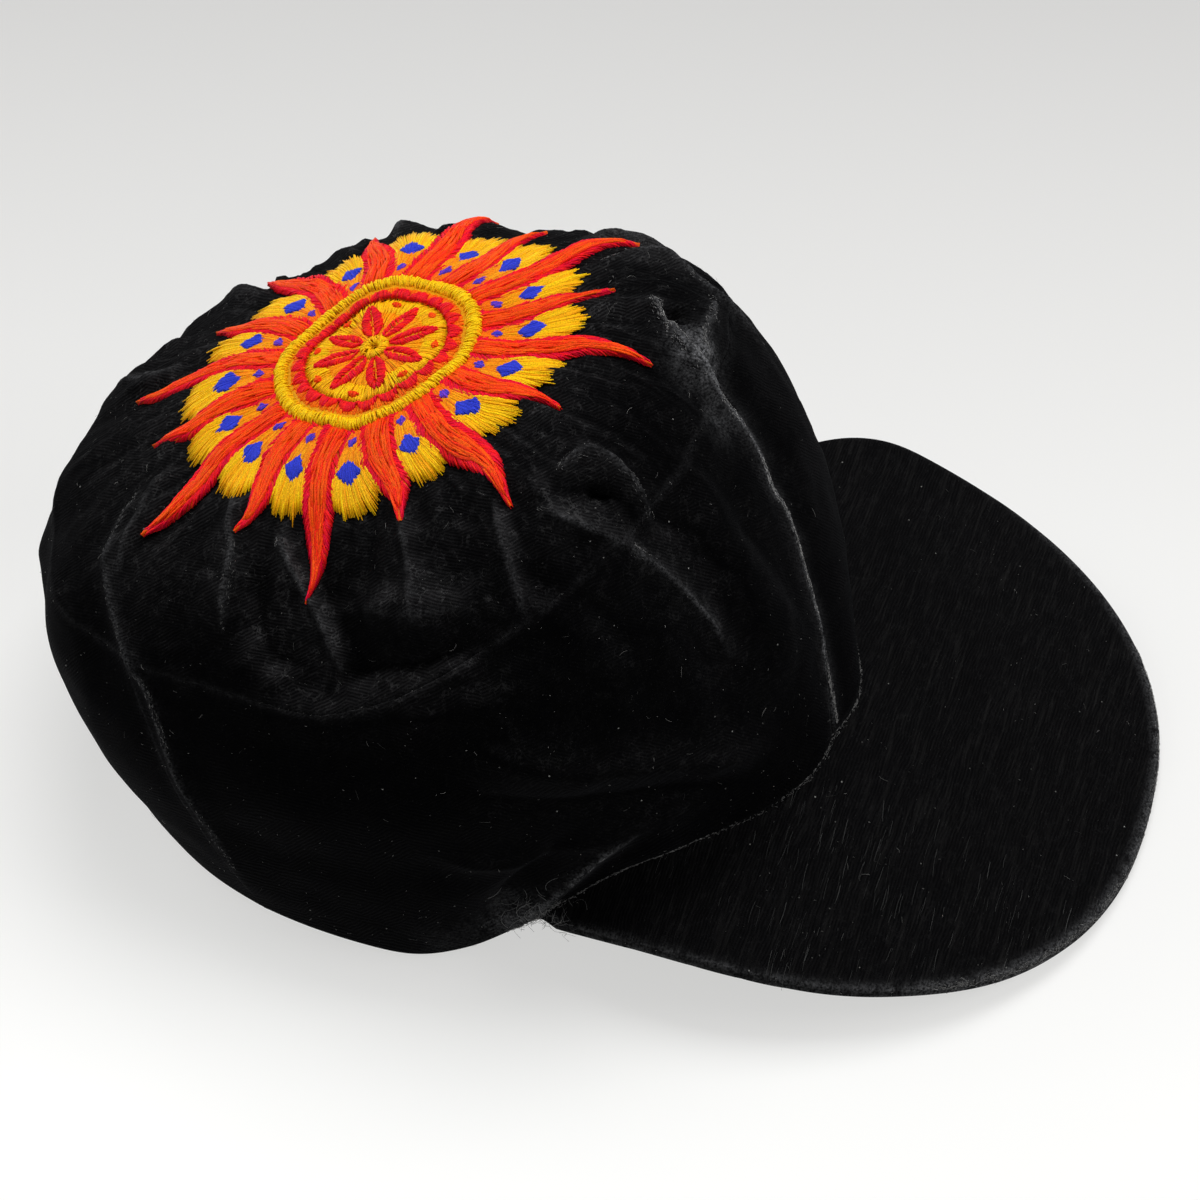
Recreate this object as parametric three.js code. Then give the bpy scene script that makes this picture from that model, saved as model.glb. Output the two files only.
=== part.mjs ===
// A black velvet cap with an embroidered sun rosette on its crown, as it rests on a table.
// The crown is a soft hollow shell of four pieces: a wide eased top, two tall side panels that meet in a
// creased seam at the front, and a back panel. A broad stiffened brim joins the crown's front rim.
// Millimetres. +Z is up, the brim points to -Y and the wearer's right side is -X. The table is z = 0.
import * as THREE from 'three';
import { mergeVertices } from 'three/addons/utils/BufferGeometryUtils.js';

// Driving dimensions
const VELVET_WALL = 2.0; // velvet with its interlining
const SEAM_GAP = 0.4; // clearance between neighbouring panels
const BRIM_GAP = 0.6; // clearance between the brim's face and the crown's rim over it
const BRIM_TUCK = 1.0; // how far the brim reaches in under that rim
const ORIGIN_TO_CROWN = 26.5; // how far the crown's middle stands behind the origin
const CROWN_TO_RIGHT = 5.9; // and how far to the wearer's right of it
const BRIM_TO_LEFT = 11; // the brim is set a little askew of the crown
const BRIM_THICKNESS = 3.0;
const BRIM_HALF_WIDTH = 94;
const BRIM_WIDEST = 55; // the brim's widest line, forward of the crown's middle
const BRIM_REACH = 110; // from the widest line to the front edge
const BRIM_SQUARENESS = 2.3; // 2 is an ellipse
const BRIM_SEAM_END = 67; // degrees round the rim, from the centre front to a brim corner
const BRIM_EDGE_END = 99; // degrees round the free edge, from the front to a corner
const BRIM_SIDE_UP = 28; // height of the free edge near the widest line
const BRIM_TAPER = 0.16; // share of the half-turn from the front in which the brim narrows to a corner
const BRIM_CORNER_WIDTH = 0.08; // width that is left at a corner, as a share
const BRIM_CORNER_DROP = 1; // how far the free edge lies below the seam at a corner
const BRIM_LEVEL_UNTIL = -0.2; // the free edge follows the seam's height up to here, as the sweep's cosine,
const BRIM_FREE_FROM = 0.3; // and has its own height from here to the front
const BRIM_CAMBER = 2.5; // how much the brim domes between its seam and its free edge
const TOP_LEVEL = 2.85; // where the top piece is sewn to the side and back panels, in ring levels
const LEVEL_RISE = 30; // about how far apart two levels are at that seam, measured along the velvet
const PANEL_RADIUS = 88; // about how far the panels stand from the crown's middle
const GATHERS = 14; // broad eased waves round the top piece
const GATHER_DEPTH = 0.9;

// Embroidery, in distances along the velvet from the rosette's middle
const STITCH_LIFT = 0.8; // clearance over the velvet
const CENTRE_RADIUS = 17.5;
const RING_RADIUS = 26;
const RAY_COUNT = 16;
const RAY_LONG = 72;
const RAY_SHORT = 60;
const RAY_HALF_WIDTH = 3.7;
const RAY_SWAY = 1.8; // how far a ray's middle swings to each side
const PETAL_TIP = 50;
const PETAL_SHOULDER = 42;
const STITCH_GAP = 0.6;
const THICKNESS = { centre: 1.2, ring: 1.8, ray: 1.5, petal: 1.1 };

// How many faces each sheet has round the crown, or across, and up it
const GRIDS = {
  top: { columns: 84, rows: 10 },
  side: { columns: 30, rows: 8 },
  back: { columns: 20, rows: 8 },
  brim: { columns: 36, rows: 6 },
  ray: { columns: 2, rows: 9 },
  petal: { columns: 4, rows: 5 },
  centre: { columns: 24, rows: 2 },
  ring: { columns: 32, rows: 2 },
};

const radians = THREE.MathUtils.degToRad;
const { lerp, smoothstep } = THREE.MathUtils;
const rowsToRecords = (columns, rows) => rows.map((row) => (
  Object.fromEntries(columns.map((column, index) => [column, row[index]]))));

// The crown is lofted through closed rings, from the rim up to the pole under the middle of the rosette.
// back shifts a ring's widest line to the back; front, rear, right and left are its half-lengths from
// there; frontUp, rightUp, leftUp and backUp are its heights over the table; ease is the share of the way
// to the front or back in which its height changes; brow is how much farther out than an ellipse the ring
// is between its front and its sides, and nape the same between its back and its sides.
const RINGS = rowsToRecords(
  ['name', 'back', 'front', 'rear', 'right', 'left', 'frontUp', 'rightUp', 'leftUp', 'backUp', 'ease',
    'brow', 'nape'],
  [
    ['rim', 1, 90, 88, 81, 83, 27, 0, 0, 0, 0.7, -0.06, 0.055],
    ['band', 8, 90, 93, 88, 86, 58, 33, 35, 25, 1, 0.02, 0.055],
    ['belly', 12, 82, 98, 87, 80, 88, 58, 66, 50, 1, 0.055, 0.055],
    ['seam', 20, 68, 85, 79, 69, 120, 81, 96, 70, 1, 0.055, 0.055],
    ['shoulder', 25, 53, 55, 60, 53, 128, 98, 109, 90, 1, 0.055, 0.055],
    ['inner', 29, 29, 27, 31, 28, 121, 109, 113, 102, 1, 0.055, 0.055],
  ],
);
const POLE = { back: 30, up: 113 };
const POLE_LEVEL = RINGS.length;

// Folds and dents follow paths of [degrees, level] on the crown. rise is out of the velvet, a dent's is
// negative, and width is how far to each side it spreads.
const FOLDS = rowsToRecords(
  ['name', 'rise', 'width', 'path'],
  [
    ['front crease', 2.6, 7, [[6, 0], [3, 0.9], [-2, 1.7], [-7, 2.5], [-11, 2.9]]],
    ['ridge right of the crease', 4.2, 6, [[38, 3.3], [30, 2.7], [26, 2.2], [26, 1.7]]],
    ['hollow beside that ridge', -3.2, 9, [[17, 2.4], [15, 1.6]]],
    ['pit at the right brow', -6.0, 7, [[29, 3.2], [27, 2.95]]],
    ['pit at the front brow', -4.0, 6, [[-25, 3.6], [-16, 3.2]]],
    ['pleat at the right side', 3.4, 5, [[92, 4.0], [86, 3.6], [81, 3.2]]],
    ['hollow behind the pleat', -3.0, 8, [[104, 3.7], [98, 3.2]]],
    ['hollow before the pleat', -2.2, 8, [[70, 3.6], [66, 3.1]]],
    ['sag along the right side', -3.0, 15, [[58, 1.9], [80, 1.8], [100, 1.9]]],
    ['roll along the right side', 2.2, 9, [[104, 1.1], [70, 1.15], [40, 0.9]]],
    ['tuck over the right brim corner', 3.2, 5, [[50, 0.75], [62, 0.5], [74, 0.35]]],
    ['hollow under that tuck', -2.0, 4, [[44, 0.35], [60, 0.18]]],
    ['sag along the left side', -3.0, 14, [[-55, 1.7], [-85, 1.9], [-105, 1.6]]],
    ['tuck over the left brim corner', 2.6, 6, [[-52, 0.7], [-72, 0.45]]],
    ['ridge at the left brow', 2.4, 7, [[-48, 3.3], [-52, 2.5]]],
    ['hollow in the back', -3.0, 16, [[168, 1.3], [196, 1.2]]],
    ['roll over the back', 2.4, 8, [[150, 2.3], [180, 2.4], [212, 2.3]]],
    ['dent at the right rear', -2.6, 8, [[136, 2.9], [128, 2.2]]],
  ],
);

// The seams between the panels, in degrees round the crown at each level
const frontSeam = (level) => radians(6 - 16 * (level / 3) ** 1.3);
const rightRearSeam = (level) => radians(112 + 9 * (level / 3) ** 2);
const leftRearSeam = (level) => -rightRearSeam(level);

function ringPoint(ring, angle) {
  const forward = Math.cos(angle);
  const toRight = Math.sin(angle);
  const reach = forward > 0 ? ring.front : ring.rear;
  const half = toRight > 0 ? ring.right : ring.left;
  const sideUp = lerp(ring.leftUp, ring.rightUp, 0.5 + 0.5 * toRight);
  const tipUp = forward > 0 ? ring.frontUp : ring.backUp;
  const fullness = 1 + (forward > 0 ? ring.brow : ring.nape) * Math.sin(2 * angle) ** 2;
  return new THREE.Vector3(
    -half * fullness * toRight,
    ring.back - reach * fullness * forward,
    lerp(sideUp, tipUp, smoothstep(Math.abs(forward), 0, ring.ease)),
  );
}

// A meridian runs from the rim, level 0, to the pole, and on down the other side, so the pole is smooth.
function meridianKnot(angle, index) {
  if (index < 0) return ringPoint(RINGS[0], angle).multiplyScalar(2).sub(ringPoint(RINGS[1], angle));
  if (index < POLE_LEVEL) return ringPoint(RINGS[index], angle);
  if (index === POLE_LEVEL) return new THREE.Vector3(0, POLE.back, POLE.up);
  return ringPoint(RINGS[2 * POLE_LEVEL - index], angle + Math.PI);
}

function smoothPoint(angle, level) {
  const from = Math.min(Math.floor(level), POLE_LEVEL - 1);
  const share = level - from;
  const [before, start, end, after] = [-1, 0, 1, 2].map((step) => meridianKnot(angle, from + step));
  const leave = end.clone().sub(before).multiplyScalar(0.5);
  const arrive = after.clone().sub(start).multiplyScalar(0.5);
  const square = share * share;
  const cube = square * share;
  return start.multiplyScalar(2 * cube - 3 * square + 1)
    .addScaledVector(leave, cube - 2 * square + share)
    .addScaledVector(end, 3 * square - 2 * cube)
    .addScaledVector(arrive, cube - square);
}

function smoothNormal(angle, level) {
  const stepAngle = 0.02;
  const stepLevel = 0.03;
  const here = Math.min(level, POLE_LEVEL - stepLevel);
  const low = Math.max(here - stepLevel, 0);
  const along = smoothPoint(angle + stepAngle, here).sub(smoothPoint(angle - stepAngle, here));
  const up = smoothPoint(angle, here + stepLevel).sub(smoothPoint(angle, low));
  return along.cross(up).normalize();
}

const foldLines = FOLDS.map(({ rise, width, path }) => ({
  rise,
  width,
  corners: path.map(([degrees, level]) => smoothPoint(radians(degrees), level)),
}));

function foldRise(point) {
  const nearest = new THREE.Vector3();
  const stretch = new THREE.Line3();
  return foldLines.reduce((total, { rise, width, corners }) => {
    const distances = corners.slice(1).map((corner, index) => (
      stretch.set(corners[index], corner).closestPointToPoint(point, true, nearest).distanceTo(point)));
    return total + rise * Math.exp(-((Math.min(...distances) / width) ** 2));
  }, 0);
}

function gatherRise(angle, level) {
  const onTheShoulder = smoothstep(level, 1.9, 2.9) * (1 - smoothstep(level, 3.4, 4.6));
  return GATHER_DEPTH * onTheShoulder * Math.cos(GATHERS * angle);
}

// A point on the velvet's face, lifted off it by the given height. The hem keeps its height at the table.
function crownPoint(angle, level, lift = 0) {
  const point = smoothPoint(angle, level);
  const rise = foldRise(point) + gatherRise(angle, level);
  const hem = point.z;
  point.addScaledVector(smoothNormal(angle, level), rise + lift);
  if (level === 0) point.z = hem;
  return point;
}

function closedGeometry(points, faces) {
  const apart = (a, b) => points[a].distanceTo(points[b]) > 1e-4;
  const kept = faces.filter(([a, b, c]) => apart(a, b) && apart(b, c) && apart(c, a));
  const geometry = new THREE.BufferGeometry().setFromPoints(points);
  geometry.setIndex(kept.flat());
  return mergeVertices(geometry, 1e-3);
}

// Joins a grid of outer points and a grid of inner ones into one closed solid. Grids are lists of rows.
// A round grid joins its last column to its first, and a row of one repeated point is a pole.
function sheetSolid(outer, inner, round) {
  const width = outer[0].length;
  const rows = outer.length - 1;
  const columns = round ? width : width - 1;
  const outerAt = (row, column) => row * width + (column % width);
  const innerAt = (row, column) => outer.length * width + outerAt(row, column);
  const faces = [];
  const quad = (a, b, c, d) => faces.push([a, b, c], [a, c, d]);
  for (let column = 0; column < columns; column += 1) {
    const next = column + 1;
    for (let row = 0; row < rows; row += 1) {
      const above = row + 1;
      quad(outerAt(row, column), outerAt(row, next), outerAt(above, next), outerAt(above, column));
      quad(innerAt(row, column), innerAt(above, column), innerAt(above, next), innerAt(row, next));
    }
    quad(innerAt(0, column), innerAt(0, next), outerAt(0, next), outerAt(0, column));
    quad(outerAt(rows, column), outerAt(rows, next), innerAt(rows, next), innerAt(rows, column));
  }
  for (let row = 0; row < rows && !round; row += 1) {
    const above = row + 1;
    quad(outerAt(row, 0), outerAt(above, 0), innerAt(above, 0), innerAt(row, 0));
    quad(outerAt(row, columns), innerAt(row, columns), innerAt(above, columns), outerAt(above, columns));
  }
  return closedGeometry([...outer.flat(), ...inner.flat()], faces);
}

// pointAt(across, along, inside) gives a point for shares across and along the sheet from 0 to 1.
function sheet({ columns, rows, round = false, pointAt }) {
  const count = round ? columns : columns + 1;
  const layer = (inside) => Array.from({ length: rows + 1 }, (_, row) => (
    Array.from({ length: count }, (__, column) => pointAt(column / columns, row / rows, inside))));
  return sheetSolid(layer(false), layer(true), round);
}

function panel(grid, startAngle, endAngle) {
  const topEdge = TOP_LEVEL - SEAM_GAP / LEVEL_RISE;
  const halfGap = SEAM_GAP / 2 / PANEL_RADIUS;
  return sheet({
    ...grid,
    pointAt: (across, along, inside) => {
      const level = topEdge * along;
      const angle = lerp(startAngle(level) + halfGap, endAngle(level) - halfGap, across);
      return crownPoint(angle, level, inside ? -VELVET_WALL : 0);
    },
  });
}

function topPiece() {
  return sheet({
    ...GRIDS.top,
    round: true,
    pointAt: (across, along, inside) => {
      const level = lerp(TOP_LEVEL, POLE_LEVEL, along);
      return crownPoint(2 * Math.PI * across, level, inside ? -VELVET_WALL : 0);
    },
  });
}

const signedPower = (value, power) => Math.sign(value) * Math.abs(value) ** power;

// turn runs from -1 at the wearer's left corner to 1 at the right one; out runs from the seam to the edge.
function brimPoint(turn, out) {
  const seamAngle = radians(BRIM_SEAM_END * turn);
  const outward = smoothNormal(seamAngle, 0).setZ(0).normalize();
  const seam = crownPoint(seamAngle, 0).addScaledVector(outward, -BRIM_TUCK);
  seam.z -= BRIM_GAP;
  const sweep = radians(BRIM_EDGE_END * turn);
  const forward = signedPower(Math.cos(sweep), 2 / BRIM_SQUARENESS);
  const toRight = signedPower(Math.sin(sweep), 2 / BRIM_SQUARENESS);
  const awayFromCorner = smoothstep(forward, BRIM_LEVEL_UNTIL, BRIM_FREE_FROM);
  const ownHeight = lerp(BRIM_SIDE_UP, BRIM_THICKNESS, Math.max(forward, 0));
  const edge = new THREE.Vector3(
    BRIM_TO_LEFT - BRIM_HALF_WIDTH * toRight,
    -BRIM_WIDEST - BRIM_REACH * forward,
    lerp(seam.z - BRIM_CORNER_DROP, ownHeight, awayFromCorner),
  );
  const fullWidth = Math.sqrt(smoothstep(1 - Math.abs(turn), 0, BRIM_TAPER));
  const point = seam.lerp(edge, out * lerp(BRIM_CORNER_WIDTH, 1, fullWidth));
  point.z += BRIM_CAMBER * Math.sin(Math.PI * out) * Math.max(forward, 0);
  return point;
}

function brim() {
  return sheet({
    ...GRIDS.brim,
    pointAt: (across, along, inside) => {
      const point = brimPoint(lerp(1, -1, across), 1 - along);
      point.z -= inside ? BRIM_THICKNESS : 0;
      return point;
    },
  });
}

// The level on a meridian that lies the given distance along the velvet from the pole
function levelAtDistance(angle, distance) {
  const step = 0.1;
  let level = POLE_LEVEL;
  let here = smoothPoint(angle, level);
  let walked = 0;
  while (level > TOP_LEVEL) {
    const next = smoothPoint(angle, level - step);
    const stride = next.distanceTo(here);
    if (walked + stride >= distance) return level - (step * (distance - walked)) / stride;
    walked += stride;
    level -= step;
    here = next;
  }
  return level;
}

// A flat patch of stitches: placeAt(across, along) gives its angle and distance from the rosette's middle.
function stitches({ grid, round = false, thickness, placeAt }) {
  return sheet({
    ...grid,
    round,
    pointAt: (across, along, inside) => {
      const { angle, distance } = placeAt(across, along);
      const lift = STITCH_LIFT + (inside ? 0 : thickness);
      return crownPoint(angle, levelAtDistance(angle, distance), lift);
    },
  });
}

const rayAngle = (index) => (2 * Math.PI * index) / RAY_COUNT;
const rayLength = (index) => (index % 2 === 0 ? RAY_LONG : RAY_SHORT) - RING_RADIUS;

// The ray's middle line and half width where it is the given distance out, in radians round the rosette
function rayPlace(index, distance) {
  const share = (distance - RING_RADIUS) / rayLength(index);
  const sway = RAY_SWAY * Math.sin(2 * Math.PI * share);
  const taper = Math.sqrt(Math.max(1 - share, 0));
  const half = Math.max(RAY_HALF_WIDTH * taper, 0.5);
  return { middle: rayAngle(index) + sway / distance, half: half / distance };
}

function ray(index) {
  return stitches({
    grid: GRIDS.ray,
    thickness: THICKNESS.ray,
    placeAt: (across, along) => {
      const distance = RING_RADIUS + STITCH_GAP + (rayLength(index) - STITCH_GAP) * (1 - along);
      const { middle, half } = rayPlace(index, distance);
      return { angle: middle + half * lerp(-1, 1, across), distance };
    },
  });
}

function petal(index) {
  return stitches({
    grid: GRIDS.petal,
    thickness: THICKNESS.petal,
    placeAt: (across, along) => {
      const pointed = 1 - Math.abs(2 * across - 1);
      const tip = lerp(PETAL_SHOULDER, PETAL_TIP, pointed);
      const distance = lerp(tip, RING_RADIUS + STITCH_GAP, along);
      const before = rayPlace(index, distance);
      const after = rayPlace(index + 1, distance);
      const gap = STITCH_GAP / distance;
      const angle = lerp(before.middle + before.half + gap, after.middle - after.half - gap, across);
      return { angle, distance };
    },
  });
}

function roundStitches(innerRadius, outerRadius, grid, thickness) {
  return stitches({
    grid,
    round: true,
    thickness,
    placeAt: (across, along) => ({
      angle: 2 * Math.PI * across,
      distance: lerp(outerRadius, innerRadius, along),
    }),
  });
}

const COLOURS = { velvet: 0x0d0d0f, ray: 0xcc3d20, petal: 0xe39a2c, ring: 0xf2c044, centre: 0xb8301f };
const cap = new THREE.Group();
cap.position.set(-CROWN_TO_RIGHT, ORIGIN_TO_CROWN, 0);

function addPiece(name, colour, geometry) {
  const material = new THREE.MeshStandardMaterial({ color: colour, roughness: 0.95, metalness: 0 });
  const mesh = new THREE.Mesh(geometry, material);
  mesh.name = name;
  cap.add(mesh);
}

addPiece('crown_top', COLOURS.velvet, topPiece());
addPiece('side_panel_right', COLOURS.velvet, panel(GRIDS.side, frontSeam, rightRearSeam));
addPiece('side_panel_left', COLOURS.velvet, panel(GRIDS.side, leftRearSeam, frontSeam));
addPiece('back_panel', COLOURS.velvet, panel(GRIDS.back, rightRearSeam, (level) => (
  2 * Math.PI + leftRearSeam(level))));
addPiece('brim', COLOURS.velvet, brim());
addPiece('sun_centre', COLOURS.centre, roundStitches(0, CENTRE_RADIUS, GRIDS.centre, THICKNESS.centre));
addPiece('sun_ring', COLOURS.ring, roundStitches(
  CENTRE_RADIUS + STITCH_GAP,
  RING_RADIUS,
  GRIDS.ring,
  THICKNESS.ring,
));
for (let index = 0; index < RAY_COUNT; index += 1) {
  const number = String(index + 1).padStart(2, '0');
  addPiece(`ray_${number}`, COLOURS.ray, ray(index));
  addPiece(`petal_${number}`, COLOURS.petal, petal(index));
}

export default cap;
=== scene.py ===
import math

import bmesh
import bpy
import numpy as np
from bpy.props import FloatProperty, FloatVectorProperty, IntProperty, PointerProperty
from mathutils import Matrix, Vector, noise
from mathutils.bvhtree import BVHTree
from mathutils.kdtree import KDTree


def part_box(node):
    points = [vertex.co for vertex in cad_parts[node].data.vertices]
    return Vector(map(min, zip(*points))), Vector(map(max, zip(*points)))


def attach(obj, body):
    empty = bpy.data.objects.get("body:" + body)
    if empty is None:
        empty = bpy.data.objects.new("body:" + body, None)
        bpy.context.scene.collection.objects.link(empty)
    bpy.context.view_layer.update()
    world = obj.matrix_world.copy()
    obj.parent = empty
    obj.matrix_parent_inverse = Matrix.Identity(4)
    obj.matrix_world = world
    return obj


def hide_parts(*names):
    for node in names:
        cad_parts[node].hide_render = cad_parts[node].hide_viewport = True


bl_info = {
    "name": "Embroidered velvet cap",
    "version": (1, 0, 0),
    "blender": (4, 5, 0),
    "location": "3D View > Sidebar > Cap",
    "description": "Makes a black velvet cap with a stitched sun rosette around its packed frame",
    "category": "Object",
}

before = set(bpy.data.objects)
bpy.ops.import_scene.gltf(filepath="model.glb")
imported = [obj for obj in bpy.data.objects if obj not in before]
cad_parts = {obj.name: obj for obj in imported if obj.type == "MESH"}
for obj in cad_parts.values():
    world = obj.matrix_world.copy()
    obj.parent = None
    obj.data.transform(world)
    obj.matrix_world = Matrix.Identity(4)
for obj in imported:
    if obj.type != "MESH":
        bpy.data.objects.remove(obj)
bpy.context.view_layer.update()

MM = 0.001
BODY = "root"
SIDE_NODES = ("side_panel_right", "side_panel_left")
CROWN_NODES = ("crown_top", *SIDE_NODES, "back_panel")
SEAM_ANGLE = math.radians(55)
RAY_COUNT = sum(name.startswith("ray_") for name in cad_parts)


# Selecting, copying and finishing meshes

def select_only(obj):
    """Makes obj the one selected and active object."""
    for other in bpy.context.selected_objects:
        other.select_set(False)
    obj.select_set(True)
    bpy.context.view_layer.objects.active = obj


def points_of(mesh):
    """The mesh's vertices as one array of rows x, y, z."""
    places = np.empty(len(mesh.vertices) * 3)
    mesh.vertices.foreach_get("co", places)
    return places.reshape(-1, 3)


def normals_of(mesh):
    """The mesh's vertex normals as one array."""
    ways = np.empty(len(mesh.vertices) * 3)
    mesh.vertex_normals.foreach_get("vector", ways)
    return ways.reshape(-1, 3)


def move_points(mesh, places):
    """Puts the mesh's vertices at these places."""
    mesh.vertices.foreach_set("co", np.ascontiguousarray(places, dtype=np.float32).ravel())
    mesh.update()


def tree_of(*meshes):
    """A search tree over the faces of meshes."""
    places, faces = [], []
    for mesh in meshes:
        first = len(places)
        places += [vertex.co for vertex in mesh.vertices]
        faces += [tuple(index + first for index in face.vertices) for face in mesh.polygons]
    return BVHTree.FromPolygons(places, faces)


def copy_of_node(node, name):
    """A merged copy of a CAD node, with its triangle pairs joined into quads again."""
    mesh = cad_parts[node].data.copy()
    mesh.name = name
    mesh.materials.clear()
    obj = bpy.data.objects.new(name, mesh)
    bpy.context.collection.objects.link(obj)
    select_only(obj)
    if mesh.has_custom_normals:
        bpy.ops.mesh.customdata_custom_splitnormals_clear()
    bpy.ops.object.mode_set(mode="EDIT")
    bpy.ops.mesh.select_all(action="SELECT")
    bpy.ops.mesh.remove_doubles(threshold=0.02 * MM)
    bpy.ops.mesh.tris_convert_to_quads(face_threshold=math.radians(40), shape_threshold=math.pi)
    bpy.ops.object.mode_set(mode="OBJECT")
    return obj


def crease_borders(obj, crease):
    """Creases the sharp edges round a panel and returns points along them."""
    work = bmesh.new()
    work.from_mesh(obj.data)
    layer = work.edges.layers.float.get("crease_edge") or work.edges.layers.float.new("crease_edge")
    samples = []
    for edge in work.edges:
        if len(edge.link_faces) == 2 and edge.calc_face_angle() > SEAM_ANGLE:
            edge[layer] = crease
            start, end = (vertex.co for vertex in edge.verts)
            count = max(2, int((end - start).length / (0.7 * MM)))
            samples += [start.lerp(end, step / count) for step in range(count + 1)]
    work.to_mesh(obj.data)
    work.free()
    return samples


def point_tree(samples):
    """A search tree over points."""
    tree = KDTree(len(samples))
    for index, place in enumerate(samples):
        tree.insert(place, index)
    tree.balance()
    return tree


def distances_to(tree, places):
    """How far each place is from the nearest point of a tree."""
    return np.array([tree.find(place)[2] for place in places])


def close_gap(mesh, neighbours, reach, step):
    """Moves the points that lie within reach of the neighbours' edges a step towards them."""
    places = points_of(mesh)
    for place in places:
        near, _, gap = neighbours.find(place)
        if 0 < gap < reach:
            place += (np.array(near) - place) * min(1.0, step / gap)
    move_points(mesh, places)


def subdivide(obj, levels):
    """Smooths a piece by an applied subdivision surface."""
    select_only(obj)
    bpy.ops.object.modifier_add(type="SUBSURF")
    modifier = obj.modifiers[-1]
    modifier.levels = levels
    modifier.render_levels = levels
    bpy.ops.object.modifier_apply(modifier=modifier.name)
    bpy.ops.object.shade_smooth()


def mesh_object(name, places, faces, colours=None):
    """A smooth-shaded mesh piece, with a colour for each point where colours are given."""
    mesh = bpy.data.meshes.new(name)
    mesh.from_pydata(places.tolist(), [], faces.tolist())
    if colours is not None:
        layer = mesh.color_attributes.new("thread", "FLOAT_COLOR", "POINT")
        rows = np.ones((len(places), 4), np.float32)
        rows[:, :3] = colours
        layer.data.foreach_set("color", rows.ravel())
    obj = bpy.data.objects.new(name, mesh)
    bpy.context.collection.objects.link(obj)
    select_only(obj)
    bpy.ops.object.shade_smooth()
    return obj


def finish_piece(obj, material, nodes=()):
    """Gives a piece its material, attaches it to the body that it rides on, and hides the CAD parts that
    it stands for.
    """
    obj.data.materials.clear()
    obj.data.materials.append(material)
    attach(obj, BODY)
    if nodes:
        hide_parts(*nodes)


def unit(rows):
    """The rows brought to a length of 1."""
    return rows / np.maximum(np.linalg.norm(rows, axis=-1, keepdims=True), 1e-12)


def ramp(values, low, high):
    """0 below low, 1 above high and a smooth change between."""
    share = np.clip((values - low) / (high - low), 0, 1)
    return share * share * (3 - 2 * share)


# Easing the cloth: one sheet over the whole crown is simulated, and the pieces follow it

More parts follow.
